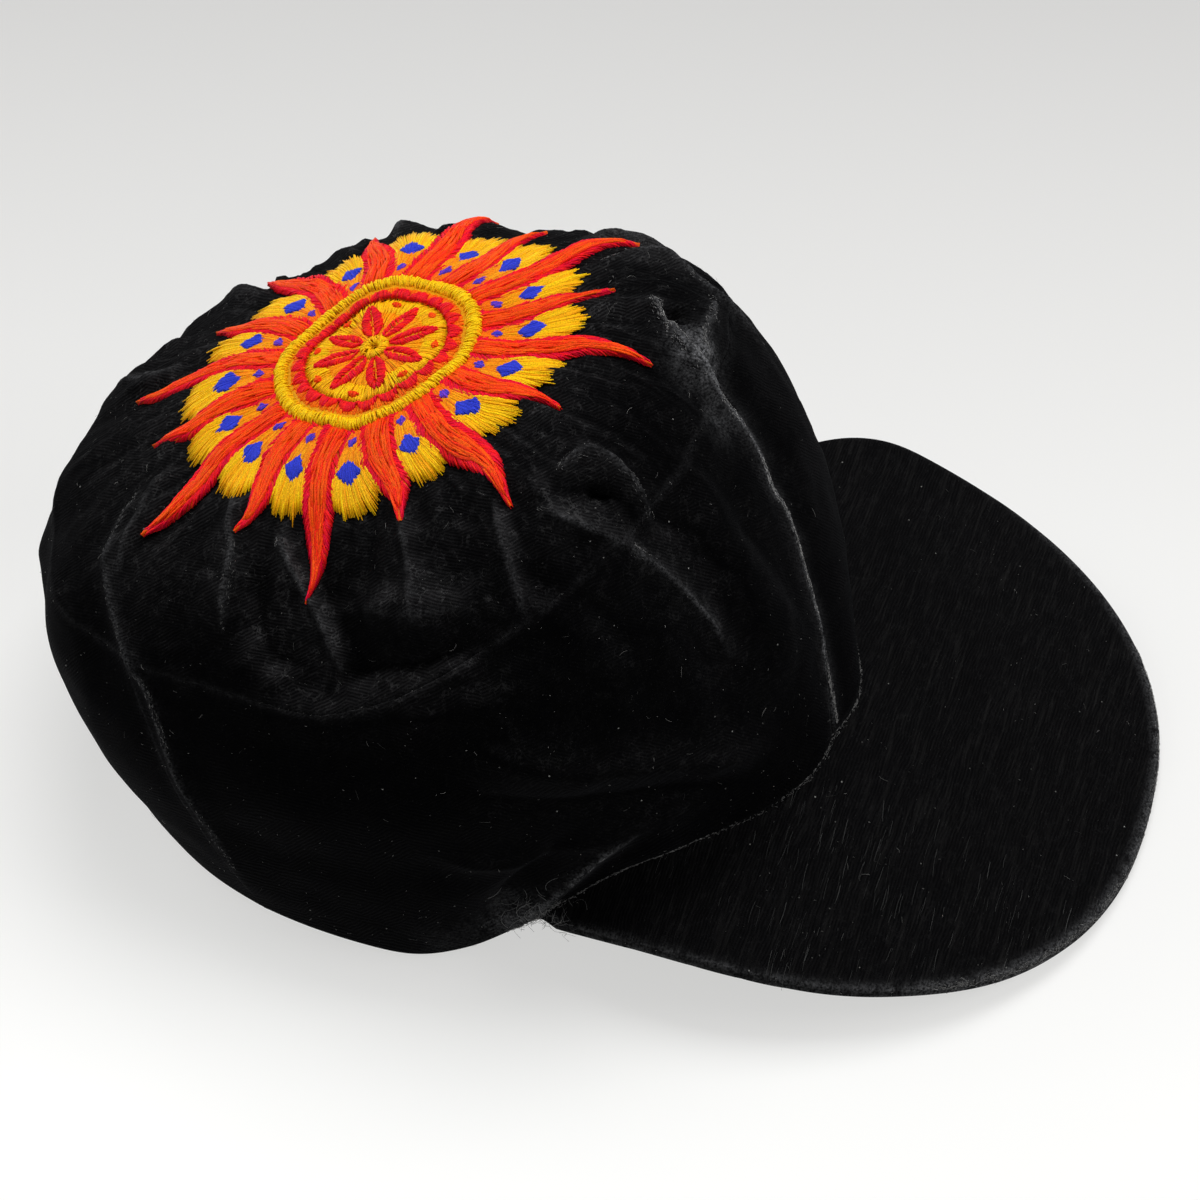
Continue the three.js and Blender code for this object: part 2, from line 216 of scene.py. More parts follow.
class EasedCloth:
    """How far each part of the crown's cloth moves as its extra width settles into puckers."""

    ball_radius = 0.2

    def __init__(self, settings):
        self.settings = settings
        low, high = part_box("crown_top")
        self.middle = Vector(((low.x + high.x) / 2, (low.y + high.y) / 2 - 20 * MM, 45 * MM))
        self.sheet = self.wrapped_sheet()
        self.rest = points_of(self.sheet.data)
        self.ways = normals_of(self.sheet.data)
        self.tree = tree_of(self.sheet.data)
        self.faces = np.array([tuple(face.vertices) for face in self.sheet.data.polygons])
        self.shift = np.zeros_like(self.rest)
        self.shift = self.simulated_shift()
        bpy.data.objects.remove(self.sheet)

    def wrapped_sheet(self):
        """A ball of small triangles pulled in on to the crown, and opened at the rim."""
        bpy.ops.mesh.primitive_ico_sphere_add(
            subdivisions=6, radius=self.ball_radius, location=self.middle)
        sheet = bpy.context.object
        select_only(sheet)
        bpy.ops.object.transform_apply(location=True, rotation=False, scale=False)
        crown = tree_of(*(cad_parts[node].data for node in CROWN_NODES))
        work = bmesh.new()
        work.from_mesh(sheet.data)
        reach = {}
        for vertex in work.verts:
            way = (vertex.co - self.middle).normalized()
            hit, normal, _, _ = crown.ray_cast(vertex.co, -way, self.ball_radius)
            if hit is not None and normal.dot(way) > 0.15:
                reach[vertex] = (hit - self.middle).length
        lost = []
        for vertex in work.verts:
            way = (vertex.co - self.middle).normalized()
            near = [reach[edge.other_vert(vertex)] for edge in vertex.link_edges
                    if edge.other_vert(vertex) in reach]
            if vertex not in reach and len(near) < 4:
                lost.append(vertex)
                continue
            length = reach.get(vertex) or sum(near) / len(near)
            vertex.co = self.middle + way * length
        bmesh.ops.delete(work, geom=lost, context="VERTS")
        work.to_mesh(sheet.data)
        work.free()
        return sheet

    def simulated_shift(self):
        """How the sheet's points move when it is held at rim and sun, and eased elsewhere."""
        sheet, settings = self.sheet, self.settings
        from_sun = np.linalg.norm(self.rest - sun_middle(), axis=1) / MM
        rim = self.rim_distance() / MM
        held = np.maximum(1 - ramp(rim, 6, 24), 0.9 * (1 - ramp(from_sun, 38, 48)))
        eased = ramp(from_sun, 40, 50) * (1 - 0.6 * ramp(from_sun, 85, 115))
        for name, weights in (("held", held), ("eased", eased)):
            group = sheet.vertex_groups.new(name=name)
            for index, weight in enumerate(weights):
                group.add([index], float(weight), "REPLACE")
        select_only(sheet)
        bpy.ops.object.modifier_add(type="CLOTH")
        cloth = sheet.modifiers[-1]
        for key, value in {
            "quality": 6, "mass": 0.2,
            "tension_stiffness": 20, "compression_stiffness": 20, "shear_stiffness": 6,
            "bending_stiffness": settings.bending_stiffness,
            "vertex_group_mass": "held", "vertex_group_shrink": "eased",
            "shrink_min": 0, "shrink_max": -settings.extra_width,
            "use_pressure": True, "uniform_pressure_force": 0.05,
        }.items():
            setattr(cloth.settings, key, value)
        cloth.settings.effector_weights.gravity = 0
        cloth.collision_settings.use_collision = False
        for step in range(1, settings.settle_steps + 1):
            bpy.context.scene.frame_set(step)
        settled = sheet.evaluated_get(bpy.context.evaluated_depsgraph_get())
        shift = points_of(settled.data) - self.rest
        sheet.modifiers.remove(cloth)
        bpy.context.scene.frame_set(1)
        length = np.linalg.norm(shift, axis=1, keepdims=True)
        limit = settings.pucker_limit
        capped = limit * np.tanh(length / limit)
        print("puckers: mean %.2f mm, most %.2f mm" % (length.mean() / MM, length.max() / MM))
        return shift * capped / np.maximum(length, 1e-9)

    def rim_distance(self):
        """How far each point of the sheet is from its open rim."""
        work = bmesh.new()
        work.from_mesh(self.sheet.data)
        rim = [vertex.co.copy() for vertex in work.verts if vertex.is_boundary]
        work.free()
        return distances_to(point_tree(rim), self.rest)

    def settle(self, mesh, folds):
        """Moves a piece's points as the cloth under them moved, and raises its folds."""
        places = points_of(mesh)
        hits = [self.tree.find_nearest(place) for place in places]
        near = np.array([hit[0] for hit in hits])
        corners = self.faces[[hit[2] for hit in hits]]
        weights = corner_weights(near, self.rest[corners])[:, :, None]
        ways = (weights * self.ways[corners]).sum(1)
        ways /= np.linalg.norm(ways, axis=1, keepdims=True)
        moved = places + (weights * self.shift[corners]).sum(1)
        move_points(mesh, moved + ways * (folds.rise(places) * MM)[:, None])
        return places, ways


def noise_at(places, scale, shift=(0, 0, 0)):
    """Smooth noise at each place, with this many swells to the metre."""
    start = Vector(shift)
    return np.array([noise.noise(Vector(place) * scale + start) for place in places])


def corner_weights(places, corners):
    """How much each corner of a triangle counts at a place in it, for rows of places."""
    first, second = corners[:, 1] - corners[:, 0], corners[:, 2] - corners[:, 0]
    reach = places - corners[:, 0]
    a, b, c = ((u * v).sum(1) for u, v in ((first, first), (first, second), (second, second)))
    d, e = (reach * first).sum(1), (reach * second).sum(1)
    bottom = np.maximum(a * c - b * b, 1e-20)
    second_share = (c * d - b * e) / bottom
    third_share = (a * e - b * d) / bottom
    return np.stack([1 - second_share - third_share, second_share, third_share], 1)


def sun_middle():
    """The place in the middle of the sun's centre."""
    low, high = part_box("sun_centre")
    return np.array((low + high) / 2)


# Folds that the cap has fallen into. Each row has a name, how far the fold stands out of the velvet, or
# in where that is less than 0, how far it spreads to each side, its shape from 1, pinched, to 2, round,
# how rubbed its crest is from 0 to 1, and the path it follows. Millimetres.
FOLDS = (
    ("front seam", 1.6, 2.6, 1.3, 1.0,
     ((4, -19, 125), (2, -25, 116), (2, -34, 103), (-2, -40, 94), (-4, -47, 81), (-8, -52, 68),
      (-11, -58, 46), (-12, -62, 30))),
    ("crease over the brow", 3.0, 2.2, 1.3, 0.9,
     ((14, -6, 131), (8, -12, 130), (4, -17, 126), (2, -23, 119))),
    ("rim of the front brow", 2.6, 2.8, 1.3, 0.5,
     ((27, 10, 128), (34, -1, 126), (31, -13, 122), (35, -27, 103))),
    ("cross crease", 2.0, 1.9, 1.3, 0.6, ((30, -16, 119), (12, -20, 127), (6, -21, 122))),
    ("pit of the front brow", -6.5, 4.6, 2.0, 0.0, ((15, -11, 131), (10, -15, 129))),
    ("hollow right of the seam", -2.0, 6.5, 2.0, 0.0, ((-15, -28, 115), (-20, -42, 96), (-14, -53, 69))),
    ("ridge from a ray", 3.4, 2.6, 1.3, 0.45,
     ((-54, 0, 123), (-52, -10, 119), (-50, -20, 113), (-45, -27, 101), (-44, -35, 91), (-43, -41, 79))),
    ("hollow before the ridge", -3.6, 8.0, 2.0, 0.0, ((-40, -22, 120), (-36, -33, 107), (-36, -42, 93))),
    ("hollow behind the ridge", -2.6, 7.0, 2.0, 0.0, ((-65, -5, 114), (-63, -18, 106), (-63, -28, 92))),
    ("pit at the right brow", -8.5, 4.0, 2.0, 0.0, ((-49, -9, 126), (-48, -16, 125))),
    ("rim of that pit", 3.6, 2.2, 1.3, 0.35,
     ((-45, -1, 128), (-39, -7, 128), (-40, -16, 126), (-44, -23, 117))),
    ("pleat", 3.6, 1.9, 1.25, 0.5,
     ((-60, 61, 102), (-67, 54, 97), (-72, 47, 93), (-77, 42, 89), (-81, 38, 86))),
    ("hollow behind the pleat", -4.2, 6.0, 2.0, 0.0, ((-66, 67, 99), (-78, 58, 93), (-87, 51, 85))),
    ("ledge before the pleat", -2.8, 3.0, 1.6, 0.0,
     ((-81, 37, 85), (-83, 29, 91), (-84, 20, 96), (-79, 8, 101))),
    ("roll over the ledge", 2.2, 5.0, 1.7, 0.12, ((-73, 35, 100), (-77, 23, 105), (-73, 9, 109))),
    ("roll under the ledge", 1.8, 6.0, 1.8, 0.0,
     ((-90, 53, 78), (-88, 33, 80), (-87, 12, 87), (-78, -8, 92))),
    ("crease along the rear seam", 1.6, 2.0, 1.3, 0.32,
     ((-43, 103, 90), (-57, 105, 85), (-69, 100, 80), (-80, 92, 75), (-86, 85, 69), (-90, 79, 55),
      (-92, 72, 40), (-90, 66, 19))),
    ("fold behind the rays", 2.8, 2.6, 1.3, 0.3,
     ((-46, 76, 103), (-57, 73, 101), (-68, 70, 98), (-79, 68, 89))),
    ("second fold behind the rays", 2.4, 3.6, 1.4, 0.2, ((-36, 97, 95), (-51, 100, 91), (-64, 100, 83))),
    ("fold between the rays", 2.4, 2.6, 1.3, 0.2, ((-57, 31, 114), (-68, 26, 111), (-79, 21, 104))),
    ("second fold between the rays", 2.4, 2.6, 1.3, 0.2, ((-55, 11, 123), (-65, 4, 117), (-72, -2, 107))),
    ("upper sag of the side", 2.6, 4.6, 1.5, 0.0,
     ((-89, 5, 80), (-85, -15, 73), (-69, -33, 65), (-45, -51, 49))),
    ("hollow of the sags", -2.8, 4.6, 1.8, 0.0,
     ((-93, 6, 68), (-87, -11, 62), (-71, -29, 55), (-51, -47, 45))),
    ("lower sag of the side", 2.8, 4.4, 1.5, 0.0,
     ((-94, 12, 46), (-88, -1, 42), (-82, -12, 43), (-62, -37, 45))),
    ("tuck over the brim's corner", 2.8, 2.8, 1.3, 0.7,
     ((-82, -3, 15), (-78, -11, 26), (-76, -19, 36), (-70, -27, 43))),
    ("hollow over that tuck", -2.6, 4.0, 1.8, 0.0, ((-84, 4, 18), (-85, -7, 35), (-81, -15, 48))),
    ("left sag", -3.2, 9.0, 2.0, 0.0, ((80, 64, 52), (81, 34, 55), (77, 4, 60), (65, -23, 62))),
    ("roll under the left sag", 2.4, 6.0, 1.6, 0.1, ((81, 55, 30), (82, 24, 32), (73, -7, 38))),
    ("left brow ridge", 3.2, 4.4, 1.4, 0.3, ((31, 18, 125), (52, 6, 112), (61, -3, 93), (66, -14, 78))),
    ("hollow by the left ridge", -3.4, 7.0, 2.0, 0.0, ((59, 25, 108), (67, 14, 92), (73, 6, 76))),
    ("left pleat", 2.8, 3.2, 1.3, 0.35, ((43, 68, 108), (57, 70, 98), (66, 70, 85))),
    ("back roll", 2.6, 5.0, 1.6, 0.15, ((-52, 126, 57), (-20, 137, 52), (16, 135, 52), (45, 122, 56))),
    ("back hollow", -3.2, 9.0, 2.0, 0.0, ((-45, 128, 34), (-6, 136, 32), (37, 126, 36))),
    ("back pleat", 2.8, 3.4, 1.3, 0.3, ((-1, 109, 91), (0, 116, 85), (8, 131, 73))),
    ("second back pleat", 2.4, 3.6, 1.4, 0.2, ((29, 99, 93), (34, 106, 88), (46, 114, 72))),
)

FOLD_PATHS = {row[0]: row[-1] for row in FOLDS}

# Puckers round the rosette: how many go round, how deep they are, how they lean and where they start.
PUCKERS = ((23, 1.0, 1.4, 0.4), (37, 0.75, -2.2, 1.9), (59, 0.4, 3.0, 4.0))


class Folds:
    """The relief of the crown's velvet beyond its CAD shape, and the wear along it."""

    def __init__(self, cloth):
        self.sun = sun_middle()
        self.lines = []
        for _, height, width, crest, wear, corners in FOLDS:
            path = smooth_path(np.array(corners, float) * MM)
            laid = np.array([cloth.find_nearest(place)[0] for place in path])
            self.lines.append((height, width, crest, wear, laid))

    def distance(self, places, path):
        """Distances from the places to a path in mm, and how far along it each is from 0 to 1."""
        best = np.full(len(places), np.inf)
        along = np.zeros(len(places))
        for index, (start, end) in enumerate(zip(path, path[1:])):
            span = end - start
            share = np.clip((places - start) @ span / (span @ span), 0, 1)
            away = np.linalg.norm(places - start - share[:, None] * span, axis=1)
            closer = away < best
            best[closer] = away[closer]
            along[closer] = (index + share[closer]) / (len(path) - 1)
        return best / MM, along

    def rise(self, places):
        """How far the velvet stands out at each place, in mm."""
        total = self.puckers(places) + self.slack(places)
        for height, width, crest, _, path in self.lines:
            away, along = self.distance(places, path)
            fade = np.clip(np.sin(math.pi * (0.06 + 0.88 * along)) * 1.6, 0, 1)
            total += height * fade * np.exp(-(away / width) ** crest)
        return total * ramp(places[:, 2] / MM, 2, 14)

    def puckers(self, places):
        """Pinched waves round the rosette, deepest just outside it."""
        flat = places - self.sun
        turn = np.arctan2(-flat[:, 0], -flat[:, 1])
        away = np.linalg.norm(flat, axis=1) / MM
        reach = ramp(away, 42, 52) * (1 - ramp(away, 62, 100)) * (0.75 + 0.25 * np.sin(2 * turn + 0.6))
        wave = np.zeros(len(places))
        drift = noise_at(places, 33)
        for count, depth, lean, start in PUCKERS:
            bend = lean * (away / 50 - 1) + 0.8 * np.sin(3 * turn + start) + start
            wave += depth * (1 - 2 * np.abs(np.sin(count * turn / 2 + bend + 1.3 * drift)) ** 0.8)
        return reach * wave * (0.9 + 0.9 * drift)

    def slack(self, places):
        """Slow waves all over, as in slack cloth, and small sharp crinkles near the top."""
        waves = 0.9 * noise_at(places, 38) + 0.45 * noise_at(places, 95, (5, 3, 1))
        crinkles = 0.9 * (0.2 - np.abs(noise_at(places, 58, (9, 2, 4))))
        crinkles += 0.5 * (0.2 - np.abs(noise_at(places, 120, (1, 7, 3))))
        return waves + 1.5 * crinkles * ramp(places[:, 2] / MM, 55, 88)

    def rubbed(self, places):
        """How rubbed the crests are at each place."""
        total = np.zeros(len(places))
        for _, _, _, wear, path in self.lines:
            if wear:
                away, along = self.distance(places, path)
                fade = np.clip(np.sin(math.pi * (0.04 + 0.92 * along)) * 2, 0, 1)
                crest_line, halo = np.exp(-(away / 0.7) ** 2), np.exp(-(away / 3.5) ** 2)
                total += wear * fade * (0.7 * crest_line + 0.08 * halo)
        return total


def smooth_path(corners, steps=6):
    """A path through the corners, rounded between them."""
    before = np.vstack([2 * corners[0] - corners[1], corners[:-1]])
    after = np.vstack([corners[1:], 2 * corners[-1] - corners[-2]])
    leave = (after - before) / 2
    points = []
    for index in range(len(corners) - 1):
        for step in range(steps):
            share = step / steps
            square, cube = share ** 2, share ** 3
            points.append((2 * cube - 3 * square + 1) * corners[index]
                          + (cube - 2 * square + share) * leave[index]
                          + (3 * square - 2 * cube) * corners[index + 1]
                          + (cube - square) * leave[index + 1])
    return np.array(points + [corners[-1]])


# Shader helpers

def new_material(name):
    """A new material with its output and a Principled shader, as material, node tree and shader."""
    material = bpy.data.materials.new(name)
    material.use_nodes = True
    tree = material.node_tree
    return material, tree, tree.nodes["Principled BSDF"]


def new_group(name, inputs, outputs):
    """A shader node group; inputs and outputs are rows of name, socket kind and default."""
    group = bpy.data.node_groups.new(name, "ShaderNodeTree")
    for direction, rows in (("INPUT", inputs), ("OUTPUT", outputs)):
        for label, kind, default in rows:
            socket = group.interface.new_socket(label, in_out=direction, socket_type=kind)
            if default is not None:
                socket.default_value = default
    start = group.nodes.new("NodeGroupInput")
    end = group.nodes.new("NodeGroupOutput")
    return group, start, end


def add_node(tree, kind, links=(), **values):
    """Adds a node; links are pairs of input and the socket that feeds it, or its value."""
    node = tree.nodes.new(kind)
    for key, value in values.items():
        setattr(node, key, value)
    for socket, source in links:
        if isinstance(source, bpy.types.NodeSocket):
            tree.links.new(source, node.inputs[socket])
        else:
            node.inputs[socket].default_value = source
    return node


def multiplied(tree, first, second, clamp=False):
    """The output of a product of two values or sockets."""
    return add_node(tree, "ShaderNodeMath", [(0, first), (1, second)], operation="MULTIPLY",
                    use_clamp=clamp).outputs[0]


def added(tree, first, second, clamp=False):
    """The output of a sum of two values or sockets."""
    return add_node(tree, "ShaderNodeMath", [(0, first), (1, second)], operation="ADD",
                    use_clamp=clamp).outputs[0]


def spread(tree, value, low, high, to_low=0.0, to_high=1.0):
    """The output of a value's range from low to high spread over another range."""
    return add_node(tree, "ShaderNodeMapRange", [
        ("Value", value), ("From Min", low), ("From Max", high), ("To Min", to_low), ("To Max", to_high),
    ]).outputs["Result"]


def noise_of(tree, place, scale, detail=3.0, roughness=0.55):
    """The output of a noise pattern, with this many cells to the metre."""
    return add_node(tree, "ShaderNodeTexNoise", [
        ("Vector", place), ("Scale", scale), ("Detail", detail), ("Roughness", roughness),
    ]).outputs["Fac"]


def pile_rows():
    """The wavering rows in which pile stands, stacked along one way across the cloth."""
    group, start, end = new_group(
        "Pile rows",
        [("Across", "NodeSocketVector", (0.0, 1.0, 0.0)), ("Spacing", "NodeSocketFloat", 0.001),
         ("Waver", "NodeSocketFloat", 14.0)],
        [("Row", "NodeSocketFloat", None)],
    )
    place = add_node(group, "ShaderNodeTexCoord").outputs["Object"]
    way_across = add_node(group, "ShaderNodeVectorMath", [
        (0, place), (1, start.outputs["Across"]),
    ], operation="DOT_PRODUCT").outputs["Value"]
    count = add_node(group, "ShaderNodeMath", [
        (0, way_across), (1, start.outputs["Spacing"]),
    ], operation="DIVIDE").outputs[0]
    phase = multiplied(group, count, 2 * math.pi)
    waver = multiplied(group, noise_of(group, place, 90.0, 2.0), start.outputs["Waver"])
    fray = multiplied(group, noise_of(group, place, 900.0, 2.0), 3.0)
    frayed = added(group, added(group, phase, waver), fray)
    wave = add_node(group, "ShaderNodeMath", [(0, frayed)], operation="SINE").outputs[0]
    group.links.new(spread(group, wave, -1.0, 1.0), end.inputs["Row"])
    return group


def pile_streaks():
    """Long fine marks that a brush leaves in pile, longest where the scale is least."""
    group, start, end = new_group(
        "Pile streaks",
        [("Scale", "NodeSocketVector", (70.0, 1100.0, 500.0))],
        [("Streak", "NodeSocketFloat", None)],
    )
    coords = add_node(group, "ShaderNodeTexCoord")
    place = add_node(group, "ShaderNodeMapping", [
        ("Vector", coords.outputs["Object"]), ("Scale", start.outputs["Scale"]),
    ]).outputs["Vector"]
    streak = spread(group, noise_of(group, place, 1.0, 3.0, 0.6), 0.52, 0.78)
    group.links.new(streak, end.inputs["Streak"])
    return group


def dust_specks():
    """Small pale specks, each cell of a cell pattern holding one or none."""
    group, start, end = new_group(
        "Dust specks",
        [("Scale", "NodeSocketFloat", 420.0), ("Share", "NodeSocketFloat", 0.07),
         ("Size", "NodeSocketFloat", 0.085)],
        [("Speck", "NodeSocketFloat", None)],
    )
    coords = add_node(group, "ShaderNodeTexCoord")
    cells = add_node(group, "ShaderNodeTexVoronoi", [
        ("Vector", coords.outputs["Object"]), ("Scale", start.outputs["Scale"]),
    ])
    tone = add_node(group, "ShaderNodeSeparateColor", [("Color", cells.outputs["Color"])])
    inside, chosen = (
        add_node(group, "ShaderNodeMath", [(0, value), (1, limit)], operation="LESS_THAN").outputs[0]
        for value, limit in ((cells.outputs["Distance"], start.outputs["Size"]),
                             (tone.outputs["Red"], start.outputs["Share"]))
    )
    shown = multiplied(group, inside, chosen)
    group.links.new(multiplied(group, shown, tone.outputs["Green"]), end.inputs["Speck"])
    return group


def broken_wear():
    """Breaks a smooth mask of rubbed pile into the uneven patches that wear leaves."""
    group, start, end = new_group(
        "Broken wear",
        [("Mask", "NodeSocketFloat", 0.0), ("Scale", "NodeSocketFloat", 1500.0)],
        [("Worn", "NodeSocketFloat", None)],
    )
    coords = add_node(group, "ShaderNodeTexCoord")
    broken = noise_of(group, coords.outputs["Object"], start.outputs["Scale"], 4.0, 0.7)
    patchy = noise_of(group, coords.outputs["Object"], 260.0, 2.0)
    grain = spread(group, broken, 0.4, 0.66, 0.1, 1.25)
    patches = spread(group, patchy, 0.3, 0.55, 0.25, 1.1)
    both = multiplied(group, grain, patches)
    group.links.new(multiplied(group, start.outputs["Mask"], both, clamp=True), end.inputs["Worn"])
    return group


def crushed_creases():
    """Thin broken lines that crushing leaves in pile."""
    group, start, end = new_group(
        "Crushed creases",
        [("Scale", "NodeSocketFloat", 260.0), ("Width", "NodeSocketFloat", 0.022)],
        [("Crease", "NodeSocketFloat", None)],
    )
    place = add_node(group, "ShaderNodeTexCoord").outputs["Object"]
    lines = []
    for shift, detail in ((0.0, 3.0), (3.0, 2.0)):
        moved = add_node(group, "ShaderNodeVectorMath", [(0, place), (1, (shift,) * 3)])
        lumps = noise_of(group, moved.outputs["Vector"], start.outputs["Scale"], detail, 0.6)
        wander = added(group, lumps, -0.5)
        away = add_node(group, "ShaderNodeMath", [(0, wander)], operation="ABSOLUTE").outputs[0]
        lines.append(spread(group, away, 0.0, start.outputs["Width"], 1.0, 0.0))
    both = added(group, *lines, clamp=True)
    kept = spread(group, noise_of(group, place, 420.0, 2.0), 0.42, 0.62)
    group.links.new(multiplied(group, both, kept), end.inputs["Crease"])
    return group


def group_node(tree, name, maker, links=()):
    """A node of the group of that name, which is made the first time that it is asked for."""
    group = bpy.data.node_groups.get(name) or maker()
    return add_node(tree, "ShaderNodeGroup", links=links, node_tree=group)


def mixed(tree, share, first, second, blend="MIX"):
    """The output of a colour mix of two colours or sockets, which the node takes on inputs 6 and 7."""
    node = add_node(tree, "ShaderNodeMix", data_type="RGBA", blend_type=blend)
    for index, source in ((0, share), (6, first), (7, second)):
        if isinstance(source, bpy.types.NodeSocket):
            tree.links.new(source, node.inputs[index])
        else:
            node.inputs[index].default_value = source
    return node.outputs[2]


def velvet_material(name, across, crossing, row_share, streak_share, crush_share):
    """Black pile in wavering rows, with streaks that a brush leaves, crush patches, rubbed patches,
    glints and dust, and a paler painted sheen where the painted sheen mask is high.
    """
    settings = bpy.context.scene.cap_velvet
    material, tree, surface = new_material(name)
    place = add_node(tree, "ShaderNodeTexCoord").outputs["Object"]
    pair = []
    for way in (across, crossing):
        rows = group_node(tree, "Pile rows", pile_rows)
        rows.inputs["Across"].default_value = way
        rows.inputs["Spacing"].default_value = settings.row_spacing
        pair.append(rows.outputs["Row"])
    change = spread(tree, noise_of(tree, place, 130.0, 2.0), 0.46, 0.54)
    stripes = mixed(tree, change, *pair)
    row = spread(tree, stripes, 0.0, 1.0, 1.0 - row_share, 1.0)
    streaks = group_node(tree, "Pile streaks", pile_streaks)
    streak = multiplied(tree, streaks.outputs["Streak"], streak_share)
    crush_and_sheen = spread(tree, noise_of(tree, place, 190.0, 4.0, 0.7), 0.36, 0.62, 1.0 - crush_share, 1.0)
    # Painted sheen: the pile's painted sheen mask, broken by crush patches and the rows, mixes in a paler
    # colour.
    sheen_mask = add_node(tree, "ShaderNodeAttribute", attribute_name="painted_sheen").outputs["Fac"]
    sheen_share = multiplied(tree, multiplied(tree, sheen_mask, crush_and_sheen), row)
    base = mixed(tree, sheen_share, (*settings.pile_colour, 1), (*settings.painted_sheen_colour, 1))
    base = mixed(tree, streak, base, (*settings.streak_colour, 1))
    # Pale crease lines: a pattern in the pile, shown only where the painted sheen is.
    creases = group_node(tree, "Crushed creases", crushed_creases)
    creased = multiplied(tree, creases.outputs["Crease"], sheen_mask)
    crease_share = multiplied(tree, creased, 1.6 * crush_share, clamp=True)
    base = mixed(tree, crease_share, base, (*settings.crease_colour, 1))
    glint = spread(tree, noise_of(tree, place, 2400.0, 1.0), 0.66, 0.8)
    lit = added(tree, multiplied(tree, sheen_share, 0.7), 0.12)
    glint_share = multiplied(tree, glint, lit, clamp=True)
    base = mixed(tree, glint_share, base, (*settings.glint_colour, 1))
    mask = add_node(tree, "ShaderNodeAttribute", attribute_name="rubbed").outputs["Fac"]
    wear = group_node(tree, "Broken wear", broken_wear, [("Mask", mask)])
    base = mixed(tree, wear.outputs["Worn"], base, (*settings.rubbed_colour, 1))
    dust = group_node(tree, "Dust specks", dust_specks)
    base = mixed(tree, dust.outputs["Speck"], base, (*settings.dust_colour, 1))
    tree.links.new(base, surface.inputs["Base Color"])
    fuzz = noise_of(tree, place, 2600.0, 2.0)
    bump = add_node(tree, "ShaderNodeBump", [
        ("Height", added(tree, multiplied(tree, stripes, 0.6), fuzz)),
        ("Strength", 0.5), ("Distance", 0.35 * MM),
    ])
    tree.links.new(bump.outputs["Normal"], surface.inputs["Normal"])
    surface.inputs["Roughness"].default_value = 0.9
    surface.inputs["Specular IOR Level"].default_value = 0.015
    surface.inputs["Sheen Weight"].default_value = settings.sheen
    surface.inputs["Sheen Roughness"].default_value = 0.3
    surface.inputs["Sheen Tint"].default_value = (0.75, 0.78, 0.9, 1)
    return material


def thread_material(name):
    """Glossy embroidery thread that takes its colour from the stitches."""
    material, tree, surface = new_material(name)
    colour = add_node(tree, "ShaderNodeAttribute", attribute_name="thread")
    place = add_node(tree, "ShaderNodeTexCoord").outputs["Object"]
    fibres = noise_of(tree, place, 3200.0, 2.0, 0.5)
    tone = spread(tree, fibres, 0.3, 0.7, 0.72, 1.2)
    dyed = mixed(tree, 1.0, colour.outputs["Color"], tone, "MULTIPLY")
    tree.links.new(dyed, surface.inputs["Base Color"])
    bump = add_node(tree, "ShaderNodeBump", [
        ("Height", fibres), ("Strength", 0.3), ("Distance", 0.1 * MM),
    ])
    tree.links.new(bump.outputs["Normal"], surface.inputs["Normal"])
    surface.inputs["Roughness"].default_value = 0.5
    surface.inputs["Specular IOR Level"].default_value = 0.08
    return material


# Velvet

def velvet_mesh(node):
    """The finished velvet that stands for a node."""
    return bpy.data.objects["velvet_" + node].data


# Where the pile is rubbed pale: a name, a middle and a reach in mm, and how strongly.
RUBBED_PATCHES = (
    ("top of the front seam", (5, -20, 124), 6, 0.85),
    ("beside the front seam", (-3, -28, 113), 5, 0.2),
    ("right brim corner", (-83, -2, 15), 7, 0.3),
    ("under the sags", (-86, 14, 8), 8, 0.08),
)


def face_attribute(mesh, name, values):
    """Stores a value between 0 and 1 for each point of a mesh."""
    layer = mesh.attributes.new(name, "FLOAT", "POINT")
    layer.data.foreach_set("value", np.ascontiguousarray(values, dtype=np.float32))


def refine_outside(obj, middle):
    """Divides the outer faces of a piece once more, and leaves its lining side as it is."""
    select_only(obj)
    bpy.context.tool_settings.mesh_select_mode = (False, False, True)
    for face in obj.data.polygons:
        face.select = face.normal.dot(face.center - middle) > 0.01
    bpy.ops.object.mode_set(mode="EDIT")
    bpy.ops.mesh.subdivide(number_cuts=1, smoothness=1.0)
    bpy.ops.object.mode_set(mode="OBJECT")


# The ways that the painted sheen follows, standing for where flat pile would shine most: faces turned up,
# and slopes to the right side.
UPWARD = np.array((0.1, -0.1, 0.99))
RIGHTWARD = np.array((0.9, 0.1, 0.42))


